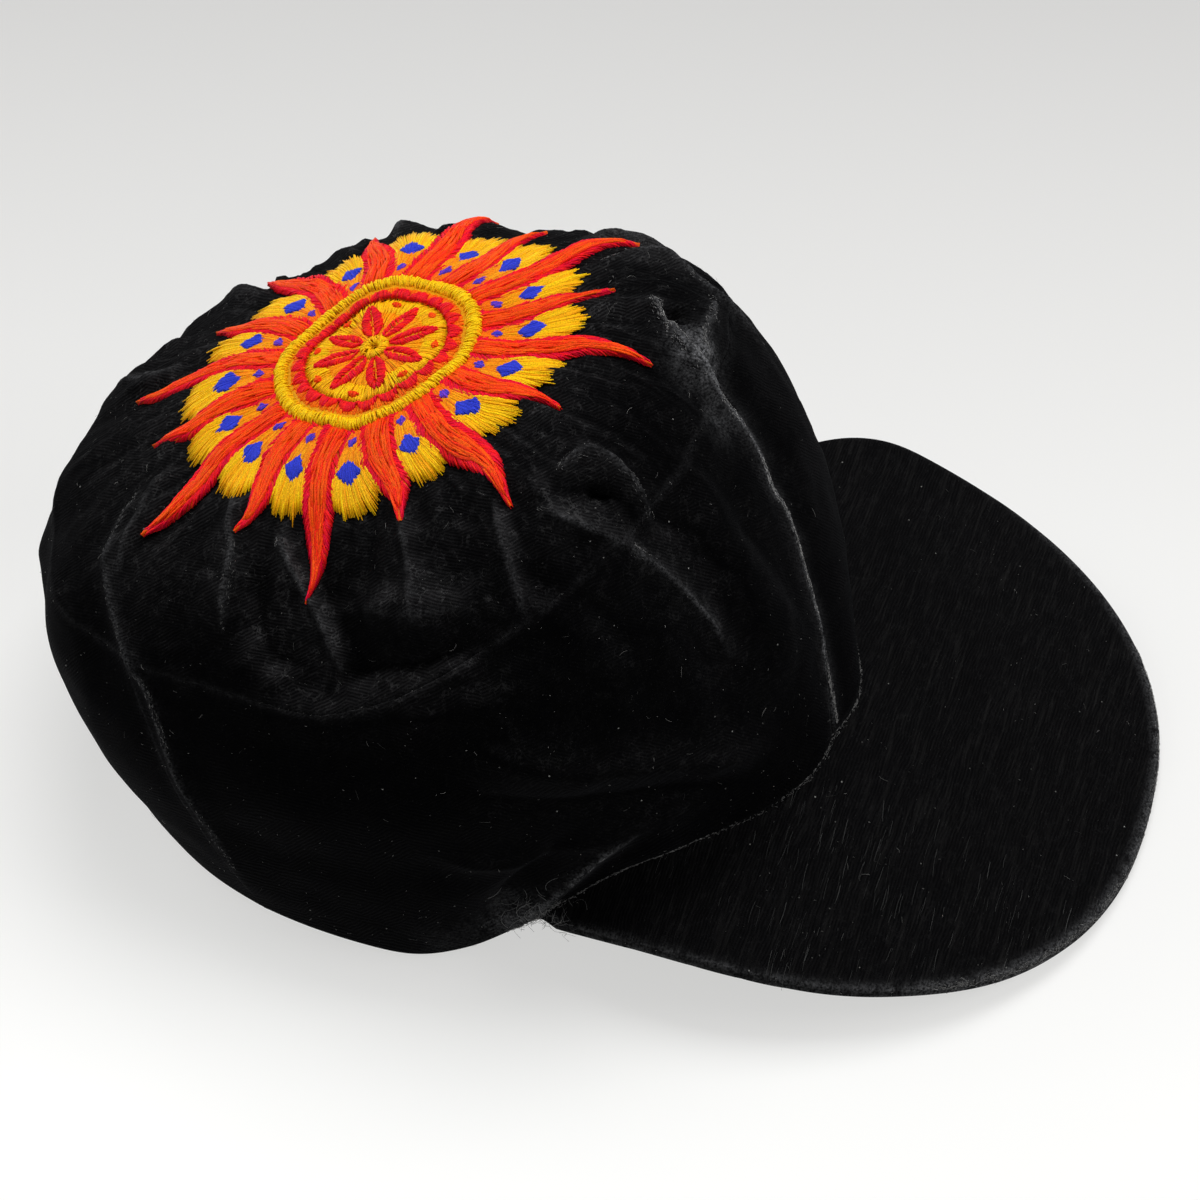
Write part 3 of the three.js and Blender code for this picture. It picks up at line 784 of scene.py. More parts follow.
def mark_pile(mesh, places, under, borders, folds):
    """Marks where the crown's pile is rubbed, and paints sheen on it: lighter on faces turned up, on
    crests rather than in hollows and on slopes to the right side, standing partly for flat pile.

    places and under are the points and the ways of the cloth before it settled.
    """
    from_seam = distances_to(borders, places) / MM
    above_hem = ramp(places[:, 2] / MM, 3, 9)
    rubbed = folds.rubbed(places) + 0.05 * np.exp(-(from_seam / 0.9) ** 2) * above_hem
    for _, middle, reach, strength in RUBBED_PATCHES:
        away = np.linalg.norm(places / MM - np.array(middle), axis=1) / reach
        rubbed += strength * np.exp(-away ** 2)
    face_attribute(mesh, "rubbed", np.clip(rubbed, 0, 1))
    ways = normals_of(mesh)
    facing = ramp(ways @ UPWARD, 0.2, 0.95)
    crest = (0.5 + 0.5 * np.tanh(0.8 * folds.rise(places))) ** 2.5
    slope = np.abs((ways - under) @ RIGHTWARD)
    upper_part = ramp(places[:, 2] / MM, 60, 94)
    back_part = 1 - 0.9 * ramp(-places[:, 1] / MM, -12, 16)
    # Painted sheen: lighter where the pile faces up, on crests and on slopes, high up and towards the
    # back, and darker in hollows.
    crush_and_sheen = facing * (0.11 + 0.22 * crest + 0.85 * slope ** 1.3) * upper_part * back_part
    # Painted sheen on crests that face the front or the back.
    turned = 0.08 * ramp(np.abs(ways[:, 1]), 0.45, 0.95) * crest
    face_attribute(mesh, "painted_sheen", np.clip(crush_and_sheen + turned + 0.2 * slope, 0, 1))


class CAP_OT_crown(bpy.types.Operator):
    """Make the crown's four velvet pieces and let their extra width settle into folds and puckers"""

    bl_idname = "cap.crown"
    bl_label = "Crown"
    seam_reach = 1.2 * MM
    seam_step = 0.35 * MM
    levels = {"crown_top": 2, "side_panel_right": 3, "side_panel_left": 2, "back_panel": 3}

    def execute(self, context):
        cloth = EasedCloth(context.scene.cap_velvet)
        folds = Folds(cloth.tree)
        velvet = velvet_material("velvet_crown", (0.75, 0.0, 0.66), (0.5, 0.62, 0.6), 0.7, 0.06, 0.6)
        pieces, borders = {}, {}
        for node in CROWN_NODES:
            pieces[node] = copy_of_node(node, "velvet_" + node)
            borders[node] = crease_borders(pieces[node], 0.85)
            subdivide(pieces[node], self.levels[node])
            if node == "crown_top":
                refine_outside(pieces[node], cloth.middle)
        for node, piece in pieces.items():
            others = [place for other in CROWN_NODES if other != node for place in borders[other]]
            close_gap(piece.data, point_tree(others), self.seam_reach, self.seam_step)
            places, ways = cloth.settle(piece.data, folds)
            mark_pile(piece.data, places, ways, point_tree(borders[node]), folds)
            finish_piece(piece, velvet, [node])
        return {"FINISHED"}


class CAP_OT_brim(bpy.types.Operator):
    """Make the velvet-covered brim, rubbed pale along its free edge"""

    bl_idname = "cap.brim"
    bl_label = "Brim"
    middle = np.array((5, -28))
    reach = np.array((93, 110))
    tuck = 0.8 * MM

    def execute(self, context):
        piece = copy_of_node("brim", "velvet_brim")
        borders = point_tree(crease_borders(piece, 0.5))
        subdivide(piece, 3)
        mesh = piece.data
        self.tuck_in(mesh)
        places = points_of(mesh)
        from_edge = distances_to(borders, places) / MM
        away = np.linalg.norm((places[:, :2] / MM - self.middle) / self.reach, axis=1)
        free_edge = ramp(away, 0.86, 0.98)
        front = ramp(-places[:, 1] / MM, 70, 125) + 0.4 * ramp(-places[:, 0] / MM, 40, 80)
        rubbed = 0.4 * free_edge * front * np.exp(-(from_edge / 1.8) ** 2)
        rubbed += 0.12 * free_edge * np.exp(-(from_edge / 0.9) ** 2)
        ways = normals_of(mesh)
        wave = 0.7 * noise_at(places, 24) + 0.25 * noise_at(places, 70)
        off_seam = ramp(away, 0.2, 0.7)
        move_points(mesh, places + np.array((0, 0, 1)) * (wave * off_seam * MM)[:, None])
        face_attribute(mesh, "rubbed", np.clip(rubbed, 0, 1))
        # Painted sheen on the brim: lighter where it faces up.
        face_attribute(mesh, "painted_sheen", 0.1 * ramp(ways[:, 2], 0.2, 0.8))
        velvet = velvet_material("velvet_brim", (0.0, 1.0, 0.0), (0.08, 1.0, 0.0), 0.6, 0.34, 0.25)
        finish_piece(piece, velvet, ["brim"])
        return {"FINISHED"}

    def tuck_in(self, mesh):
        """Carries the brim's seam edge a little way into the crown's hem, so that no gap shows."""
        crown = tree_of(*map(velvet_mesh, CROWN_NODES))
        places = points_of(mesh)
        for place in places:
            near, _, _, gap = crown.find_nearest(place)
            if gap > 0:
                share = 1 - ramp(gap / MM, 1.8, 4.5)
                place += (np.array(near) - place) / gap * (gap + self.tuck) * share
        move_points(mesh, places)


# Embroidery

# The sides of a strand of thread or of a fibre.
STRAND_SIDES = 4


class Rosette:
    """The velvet round the middle of the sun, in turns from the front and distances along it."""

    turn_count = 240
    step = 0.6 * MM
    reach = 80 * MM

    def __init__(self, velvet):
        low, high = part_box("sun_centre")
        self.middle = (low + high) / 2
        tree = tree_of(velvet)
        self.distances = np.arange(0, self.reach, self.step)
        rows = [self.walk(tree, 2 * math.pi * turn / self.turn_count) for turn in range(self.turn_count)]
        self.places = np.array(rows)
        for _ in range(3):
            around = np.roll(self.places, 1, 0) + np.roll(self.places, -1, 0)
            self.places = 0.5 * self.places + 0.25 * around
        turnwise = np.roll(self.places, -1, 0) - np.roll(self.places, 1, 0)
        outwise = np.gradient(self.places, axis=1)
        ways = np.cross(turnwise, outwise)
        ways[:, 0] = ways[:, 1].mean(0)
        ways = unit(ways)
        self.ways = ways * np.sign(ways[:, 10:11, 2:3])

    def walk(self, tree, turn):
        """Places at even distances along the velvet, going out one way from the middle."""
        way = Vector((-math.sin(turn), -math.cos(turn), 0))
        found, walked = [], []
        flat, total = 0.0, 0.0
        while total < self.reach + self.step:
            over = self.middle + way * flat
            over.z = 0.3
            hit, _, _, _ = tree.ray_cast(over, Vector((0, 0, -1)))
            if hit is None:
                break
            if found:
                total += (hit - found[-1]).length
            found.append(hit)
            walked.append(total)
            flat += 0.7 * MM
        track = np.array(found)
        return np.stack([np.interp(self.distances, walked, track[:, axis]) for axis in range(3)], 1)

    def place(self, turns, distances, lifts):
        """Places at these turns and distances in metres, lifted off the velvet, and the ways up."""
        column = np.asarray(turns) / (2 * math.pi) * self.turn_count
        row = np.clip(np.asarray(distances) / self.step, 0, len(self.distances) - 1.001)
        low_row, low_column = np.floor(row).astype(int), np.floor(column).astype(int)
        row_share, column_share = (row - low_row)[..., None], (column - low_column)[..., None]
        here, beside = low_column % self.turn_count, (low_column + 1) % self.turn_count

        def blended(table):
            """The table's rows at these turns and distances, smoothly between its own."""
            near = table[here, low_row] * (1 - row_share) + table[here, low_row + 1] * row_share
            far = table[beside, low_row] * (1 - row_share) + table[beside, low_row + 1] * row_share
            return near * (1 - column_share) + far * column_share

        ways = unit(blended(self.ways))
        return blended(self.places) + ways * np.asarray(lifts)[..., None], ways

    def polar(self, places):
        """The turn and the distance along the velvet of each of these places."""
        flat = places[:, :2] - np.array(self.middle)[:2]
        turns = np.arctan2(-flat[:, 0], -flat[:, 1])
        columns = np.round(turns / (2 * math.pi) * self.turn_count).astype(int) % self.turn_count
        spans = np.linalg.norm(self.places[:, :, :2] - np.array(self.middle)[:2], axis=2)
        away = np.linalg.norm(flat, axis=1)
        return turns, np.array([
            np.interp(span, spans[column], self.distances) for span, column in zip(away, columns)
        ])


class Ray:
    """One ray of the sun, read from its CAD node: its middle line and half width at each distance."""

    def __init__(self, rosette, node):
        turns, distances = rosette.polar(points_of(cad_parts[node].data))
        middle_turn = math.atan2(np.sin(turns).mean(), np.cos(turns).mean())
        turns = middle_turn + (turns - middle_turn + math.pi) % (2 * math.pi) - math.pi
        edges = np.linspace(distances.min(), distances.max(), 11)
        self.start, self.tip = edges[0], edges[-1]
        rows = []
        for low, high in zip(edges, edges[1:]):
            inside = (distances >= low - 0.5 * MM) & (distances <= high + 0.5 * MM)
            if inside.any():
                at = distances[inside].mean()
                low_turn, high_turn = turns[inside].min(), turns[inside].max()
                rows.append((at, (high_turn + low_turn) / 2, (high_turn - low_turn) / 2 * at))
        self.at, self.line, self.half = (np.array(column) for column in zip(*rows))

    def middle(self, distances):
        """The turn of the ray's middle line at these distances."""
        return np.interp(distances, self.at, self.line)

    def width(self, distances):
        """Half the ray's width at these distances, drawn in to a point at the tip."""
        left = np.clip((self.tip - distances) / (14 * MM), 0, 1)
        out = np.clip((distances - self.start) / (self.tip - self.start), 0, 1)
        flame = 1.22 + 0.34 * np.sin(math.pi * np.minimum(out * 1.25, 1))
        return np.interp(distances, self.at, self.half) * flame * np.minimum(1.0, left ** 0.8 + 0.06)


def tubes(paths, ways, radii):
    """Places and quads of joined tubes along paths, with a radius for each point of each path."""
    count, steps = paths.shape[:2]
    sides = STRAND_SIDES
    along = unit(np.gradient(paths, axis=1))
    across = unit(np.cross(ways, along))
    up = np.cross(along, across)
    angles = 2 * math.pi * (np.arange(sides) + 0.5) / sides
    rings = (across[:, :, None] * np.cos(angles)[:, None] + up[:, :, None] * np.sin(angles)[:, None])
    places = paths[:, :, None] + rings * radii[:, :, None, None]
    base = (np.arange(count) * steps * sides)[:, None, None]
    row = (np.arange(steps - 1) * sides)[None, :, None]
    side, after = np.arange(sides), (np.arange(sides) + 1) % sides
    ring = base + row
    quads = np.stack([ring + side, ring + after, ring + sides + after, ring + sides + side], -1)
    near_ends = base[:, 0] + side[::-1]
    far_ends = base[:, 0] + (steps - 1) * sides + side
    return places.reshape(-1, 3), np.concatenate([quads.reshape(-1, 4), near_ends, far_ends])


def joined(parts):
    """One set of places, faces and colours from several."""
    total, faces = 0, []
    for places, quads, _ in parts:
        faces.append(quads + total)
        total += len(places)
    return np.concatenate([part[0] for part in parts]), np.concatenate(faces), np.concatenate(
        [part[2] for part in parts])


class Needlework:
    """Stitches gathered for one piece, and the padding under them. Each stitch has steps points."""

    steps = 5
    buried_end = 0.25 * MM

    def __init__(self, rosette, seed):
        self.rosette = rosette
        self.random = np.random.default_rng(seed)
        self.parts = []

    def add(self, turns, distances, colours, lift, arch=0.35 * MM, width=None):
        """Adds stitches: turns and distances hold a start and an end for each, in two columns."""
        settings = bpy.context.scene.cap_stitches
        count = len(turns)
        share = np.linspace(0, 1, self.steps)
        turns = np.asarray(turns)
        distances = np.asarray(distances)
        path_turns = turns[:, :1] + (turns[:, 1:] - turns[:, :1]) * share
        path_distances = distances[:, :1] + (distances[:, 1:] - distances[:, :1]) * share
        wander = self.random.normal(0, 0.1 * MM, (count, 1)) * np.sin(math.pi * share)
        path_turns = path_turns + wander / np.maximum(path_distances, 6 * MM)
        over = np.sin(math.pi * share) ** 0.6
        lifts = np.broadcast_to(np.asarray(lift, float), (count,))[:, None] + over * arch
        lifts = lifts + self.random.normal(0, 0.05 * MM, (count, 1))
        lifts[:, (0, -1)] -= self.buried_end
        paths, ways = self.rosette.place(path_turns, path_distances, lifts)
        thickness = settings.thread_width / 2 if width is None else width / 2
        taper = np.array([0.55] + [1.0] * (self.steps - 2) + [0.4])
        radii = thickness * taper * self.random.uniform(0.88, 1.12, (count, 1))
        places, faces = tubes(paths, ways, radii)
        tone = self.random.uniform(0.86, 1.1, (count, 1))
        dyed = np.clip(np.asarray(colours) * tone, 0, 1)
        self.parts.append((places, faces, np.repeat(dyed, self.steps * STRAND_SIDES, 0)))

    def pad(self, turns, distances, lifts, colour):
        """Adds a padded ground: a grid of turns, distances and lifts under the stitches."""
        places, _ = self.rosette.place(turns, distances, lifts)
        rows, columns = turns.shape
        index = np.arange(rows * columns).reshape(rows, columns)
        faces = np.stack([index[:-1, :-1], index[:-1, 1:], index[1:, 1:], index[1:, :-1]], -1)
        colours = np.tile(colour, (rows * columns, 1))
        self.parts.append((places.reshape(-1, 3), faces.reshape(-1, 4), colours))

    def piece(self, name, material, slot, nodes):
        """One mesh of everything added."""
        finish_piece(mesh_object(name, *joined(self.parts)), material, nodes)


def shaded(random, low, high, count):
    """Colours between two dyes, one for each stitch."""
    share = random.uniform(0, 1, (count, 1))
    return np.array(low) * (1 - share) + np.array(high) * share


def shared_rosette():
    """The rosette on the finished top velvet, with the sun's rays read on to it."""
    rosette = Rosette(velvet_mesh("crown_top"))
    return rosette, [Ray(rosette, "ray_%02d" % (index + 1)) for index in range(RAY_COUNT)]


class CAP_OT_rays(bpy.types.Operator):
    """Stitch the red and orange rays of the sun"""

    bl_idname = "cap.rays"
    bl_label = "Rays"

    def execute(self, context):
        settings = context.scene.cap_stitches
        rosette, rays = shared_rosette()
        material = thread_material("red_thread")
        for index, ray in enumerate(rays):
            work = Needlework(rosette, 100 + index)
            self.stitch_ray(work, ray, settings)
            number = "%02d" % (index + 1)
            work.piece("stitched_ray_" + number, material, "red_thread", ["ray_" + number])
        return {"FINISHED"}

    def stitch_ray(self, work, ray, settings):
        """A padded ray: slanting edge stitches on both sides, and long ones down its middle."""
        random = work.random
        length = ray.tip - ray.start
        along = np.linspace(ray.start - 0.5 * MM, ray.tip - 1 * MM, 48)
        across = np.linspace(-1, 1, 9)
        distances = np.repeat(along[:, None], len(across), 1)
        halves = ray.width(distances) * 0.94
        turns = ray.middle(distances) + across * halves / distances
        dome = settings.ray_padding * np.sqrt(np.maximum(1 - across ** 2, 0)) - 0.15 * MM
        work.pad(turns, distances, np.broadcast_to(dome, turns.shape), np.array(settings.orange) * 0.8)
        count = int(length / settings.stitch_spacing)
        for side in (-1, 1):
            starts = np.linspace(ray.start, ray.tip - 1.0 * MM, count)
            starts += random.normal(0, 0.12 * MM, count)
            half = ray.width(starts)
            reach = random.uniform(4.5, 7.5, count) * MM
            ends = np.maximum(starts - reach, ray.start - 1 * MM)
            edge = side * half * random.uniform(0.97, 1.12, count)
            inner = side * ray.width(ends) * random.uniform(0.05, 0.45, count)
            turns = np.stack([ray.middle(starts) + edge / starts, ray.middle(ends) + inner / ends], 1)
            colours = shaded(random, settings.crimson, settings.red, count) * np.array((1, 0.6, 1.4))
            work.add(turns, np.stack([starts, ends], 1), colours, 0.28 * MM, arch=0.62 * MM)
        fill = int(1.5 * count)
        starts = random.uniform(ray.start + 4 * MM, ray.tip - 3 * MM, fill)
        ends = np.maximum(starts - random.uniform(6, 11, fill) * MM, ray.start - 0.5 * MM)
        lane = random.uniform(-0.5, 0.5, fill)
        turns = np.stack([
            ray.middle(starts) + lane * ray.width(starts) / starts,
            ray.middle(ends) + lane * ray.width(ends) / ends,
        ], 1)
        colours = shaded(random, settings.red, settings.orange, fill)
        lift = settings.ray_padding * np.sqrt(1 - lane ** 2)
        work.add(turns, np.stack([starts, ends], 1), colours, lift, arch=0.2 * MM)


class CAP_OT_petals(bpy.types.Operator):
    """Stitch the gold petals, each with a blue lozenge and a violet dot"""

    bl_idname = "cap.petals"
    bl_label = "Petals"

    def execute(self, context):
        settings = context.scene.cap_stitches
        rosette, rays = shared_rosette()
        material = thread_material("gold_thread")
        for index, ray in enumerate(rays):
            work = Needlework(rosette, 300 + index)
            self.stitch_petal(work, ray, rays[(index + 1) % RAY_COUNT], settings)
            number = "%02d" % (index + 1)
            work.piece("stitched_petal_" + number, material, "gold_thread", ["petal_" + number])
        return {"FINISHED"}

    def stitch_petal(self, work, before, after, settings):
        """A petal between two rays: three bands of stitches in two layers, a lozenge and a dot."""
        random = work.random
        start = before.start - 0.5 * MM

        def turn_at(lane, distances):
            """The turn of a lane from 0, beside the ray before, to 1, beside the ray after."""
            low = before.middle(distances) + 0.8 * before.width(distances) / distances
            gap = (after.middle(distances) - before.middle(distances)) % (2 * math.pi)
            high = before.middle(distances) + gap - 0.8 * after.width(distances) / distances
            return low + (high - low) * lane

        def tip_at(lane):
            """How far out the petal reaches in a lane: farthest in the middle, with a ragged edge."""
            rounded = np.sqrt(np.clip(1 - (2 * lane - 1) ** 2, 0, 1))
            return (43.5 + 7.5 * rounded + 0.7 * np.sin(9 * math.pi * lane)) * MM

        lanes = np.linspace(0, 1, 13)[None, :]
        rows = np.linspace(0, 1, 16)[:, None]
        distances = start + (tip_at(lanes) - 1.2 * MM - start) * rows
        lifts = np.full(distances.shape, 0.45 * MM)
        lifts[-1] = -0.1 * MM
        work.pad(turn_at(lanes, distances), distances, lifts, np.array(settings.amber) * 0.8)

        even = np.linspace(0.0, 1.0, 40)

        def uneven(place, scatter):
            """A stitch end for each lane, scattered about its place."""
            return place + random.normal(0, scatter * MM, len(even))

        for lift in (0.42 * MM, 0.6 * MM):
            for low, high, inner_scatter, outer_scatter, dyes in (
                (36.5 * MM, tip_at(even), 1.2, 0.8, (settings.gold, settings.yellow)),
                (29.5 * MM, 39.5 * MM, 0.9, 1.5, (settings.amber, settings.gold)),
                (start, 32.0 * MM, None, 0.9, (settings.orange, settings.amber)),
            ):
                colours = shaded(random, *dyes, len(even))
                inner = np.full(len(even), low) if inner_scatter is None else uneven(low, inner_scatter)
                outer = uneven(high, outer_scatter)
                turns = np.stack([turn_at(even, outer), turn_at(even, inner)], 1)
                work.add(turns, np.stack([outer, inner], 1), colours, lift, arch=0.25 * MM)
        self.lozenge(work, turn_at, random, middle=39.0, half_length=4.2, half_width=0.36,
                     dyes=(settings.blue, settings.blue), count=34)
        self.lozenge(work, turn_at, random, middle=30.3, half_length=1.7, half_width=0.26,
                     dyes=(settings.violet, settings.blue), count=12)

    def lozenge(self, work, turn_at, random, middle, half_length, half_width, dyes, count):
        """A pointed patch down the middle of a petal. Lengths in mm, and the half width in lanes."""
        offset = np.linspace(-1, 1, count)
        half = half_length * (1 - np.abs(offset) ** 1.3) + 0.35
        lane = 0.5 + offset * half_width
        outer = (middle + half + random.normal(0, 0.25, count)) * MM
        inner = (middle - half + random.normal(0, 0.25, count)) * MM
        turns = np.stack([turn_at(lane, outer), turn_at(lane, inner)], 1)
        colours = shaded(random, *dyes, count)
        work.add(turns, np.stack([outer, inner], 1), colours, 0.85 * MM, arch=0.3 * MM)


class CAP_OT_ring(bpy.types.Operator):
    """Stitch the padded yellow ring round the middle of the sun, with a row of red arches inside it"""

    bl_idname = "cap.ring"
    bl_label = "Yellow ring"
    arches = 24

    def execute(self, context):
        settings = context.scene.cap_stitches
        rosette, _ = shared_rosette()
        work = Needlework(rosette, 500)
        random = work.random
        around = np.linspace(0, 2 * math.pi, 161)[None, :]
        across = np.linspace(-1, 1, 9)[:, None]
        distances = (22.2 + 4.1 * across) * MM + 0 * around
        lifts = 0.9 * MM * np.sqrt(1 - across ** 2) - 0.1 * MM + 0 * around
        work.pad(around + 0 * across, distances, lifts, np.array(settings.gold) * 0.7)
        for count, low, high, dyes, lift, arch in (
            (420, 22.2, 26.7, (settings.gold, settings.yellow), 0.5, 1.0),
            (300, 22.8, 26.2, (settings.yellow, settings.yellow), 1.0, 0.8),
            (300, 17.6, 22.6, (settings.orange, settings.amber), 0.4, 0.6),
        ):
            turn = np.linspace(0, 2 * math.pi, count, endpoint=False) + random.normal(0, 0.003, count)
            lean = random.normal(0.02, 0.01, count)
            outer = (high + random.normal(0, 0.25, count)) * MM
            inner = (low + random.normal(0, 0.25, count)) * MM
            work.add(np.stack([turn, turn + lean], 1), np.stack([outer, inner], 1),
                     shaded(random, *dyes, count), lift * MM, arch * MM)
        self.scallops(work, random, settings)
        work.piece("stitched_ring", thread_material("yellow_thread"), "yellow_thread", ["sun_ring"])
        return {"FINISHED"}

    def scallops(self, work, random, settings):
        """A row of small red arches inside the yellow band."""
        for index in range(self.arches):
            middle = 2 * math.pi * index / self.arches
            offset = np.linspace(-1, 1, 15)
            outer = 18.3 + 3.4 * np.sqrt(1 - offset ** 2 * 0.97)
            turns = middle + offset * 0.9 * math.pi / self.arches
            colours = shaded(random, settings.crimson, settings.red, len(offset))
            distances = np.stack([outer, np.full(len(offset), 17.9)], 1) * MM
            work.add(np.stack([turns, turns], 1), distances, colours, 0.95 * MM, 0.45 * MM)


class CAP_OT_middle(bpy.types.Operator):
    """Stitch the eight-petalled flower in the middle of the sun"""

    bl_idname = "cap.middle"
    bl_label = "Middle flower"
    petals = 8

    def execute(self, context):
        settings = context.scene.cap_stitches
        rosette, _ = shared_rosette()
        work = Needlework(rosette, 700)
        random = work.random
        around = np.linspace(0, 2 * math.pi, 97)[None, :]
        rows = np.linspace(0.02, 1, 12)[:, None]
        distances = 17.9 * MM * rows + 0 * around
        lifts = 0.55 * MM * (1 - rows ** 6) + 0 * around
        work.pad(around + 0 * rows, distances, lifts, np.array(settings.gold) * 0.75)
        self.ground(work, random, settings)
        for index in range(self.petals):
            self.petal(work, random, settings, 2 * math.pi * (index + 0.5) / self.petals)
        self.button(work, random, settings)
        material = thread_material("crimson_thread")
        work.piece("stitched_middle", material, "crimson_thread", ["sun_centre"])
        return {"FINISHED"}

    def ground(self, work, random, settings):
        """Yellow and amber stitches that lead out from the middle, in three rounds."""
        for low, high, count, dyes in (
            (11.5, 17.8, 300, (settings.gold, settings.yellow)),
            (6.0, 13.5, 190, (settings.amber, settings.gold)),
            (2.5, 8.0, 90, (settings.amber, settings.gold)),
        ):
            turn = np.linspace(0, 2 * math.pi, count, endpoint=False)
            outer = (high + random.normal(0, 0.4, count)) * MM
            inner = (low + random.normal(0, 0.5, count)) * MM
            turns = np.stack([turn, turn + random.normal(0, 0.02, count)], 1)
            colours = shaded(random, *dyes, count)
            work.add(turns, np.stack([outer, inner], 1), colours, 0.5 * MM, 0.25 * MM)

    def petal(self, work, random, settings, middle):
        """A red leaf shape with a crimson edge, its stitches slanting in to a middle vein."""
        count = 30
        for side in (-1, 1):
            starts = np.linspace(4.6, 15.8, count)
            half = 2.75 * np.sin(math.pi * (starts - 3.6) / 12.6) ** 0.8
            ends = np.maximum(starts - random.uniform(1.6, 2.6, count), 3.6)
            turns = np.stack([middle + side * half / starts, middle + side * 0.12 / ends], 1)
            colours = shaded(random, settings.crimson, settings.red, count)
            work.add(turns, np.stack([starts, ends], 1) * MM, colours, 0.85 * MM, 0.4 * MM)
        dot = np.linspace(-1, 1, 7)
        outer = 15.6 + 1.1 * np.sqrt(1 - dot ** 2 * 0.98)
        inner = 15.6 - 1.1 * np.sqrt(1 - dot ** 2 * 0.98)
        offset = math.pi / self.petals + dot * 1.1 / 15.6
        turns = np.stack([middle + offset, middle + offset], 1)
        colours = shaded(random, settings.red, settings.orange, len(dot))
        work.add(turns, np.stack([outer, inner], 1) * MM, colours, 0.85 * MM, 0.35 * MM)

    def button(self, work, random, settings):
        """The raised yellow dot in the very middle."""
        count = 46
        turn = np.linspace(0, 2 * math.pi, count, endpoint=False)
        outer = (3.9 + random.normal(0, 0.12, count)) * MM
        turns = np.stack([turn, turn + 0.25], 1)
        inner = np.full(count, 0.7 * MM)
        colours = shaded(random, settings.yellow, settings.gold, count)
        work.add(turns, np.stack([outer, inner], 1), colours, 1.0 * MM, 0.45 * MM)


# Worn pile and lint

def curved_fibres(base, up, forward, length, bend, lift, radii, grey):
    """Joined thin fibres that lie on the velvet along their forward ways, bent sideways.

    lift has a row for each fibre and a column for each point along it.
    """
    side = np.cross(up, forward)
    steps = lift.shape[1]
    share = np.linspace(-0.5, 0.5, steps)
    curve = share ** 2 * 2 * bend[:, None]
    paths = (base[:, None] + forward[:, None] * (share * length[:, None])[..., None]
             + side[:, None] * (curve * length[:, None])[..., None] + up[:, None] * lift[..., None])
    places, faces = tubes(paths, np.repeat(up[:, None], steps, 1), radii[:, None] * np.ones((1, steps)))
    return places, faces, np.repeat(grey, steps * STRAND_SIDES, 0)


def laid_on(surface, places):
    """The nearest places on a surface, and the ways that it faces there."""
    hits = [surface.find_nearest(place) for place in places]
    return np.array([hit[0] for hit in hits]), np.array([hit[1] for hit in hits])


# The folds whose pile has worn through: a fold's name, fibres to the mm, how far to each side they lie
# in mm, and how pale they are.
WORN_FOLDS = (
    ("front seam", 12, 0.28, 0.30),
    ("crease over the brow", 16, 0.8, 0.26),
    ("rim of the front brow", 5, 0.4, 0.16),
    ("cross crease", 6, 0.5, 0.18),
    ("ridge from a ray", 5, 0.25, 0.16),
    ("rim of that pit", 3, 0.5, 0.12),
    ("pleat", 7, 0.3, 0.18),
    ("crease along the rear seam", 3, 0.3, 0.12),
    ("fold behind the rays", 2, 0.4, 0.12),
    ("tuck over the brim's corner", 6, 0.4, 0.2),
    ("left brow ridge", 3, 0.4, 0.14),
    ("left pleat", 3, 0.4, 0.14),
)
# Where the hem and the brim's corner meet in a frayed tuft.
FRAYED_CORNER = np.array((-80.0, -6.0, 18.0)) * MM
# The point that the hem's line on the brim goes round.
HEM_MIDDLE = np.array((0, 26)) * MM


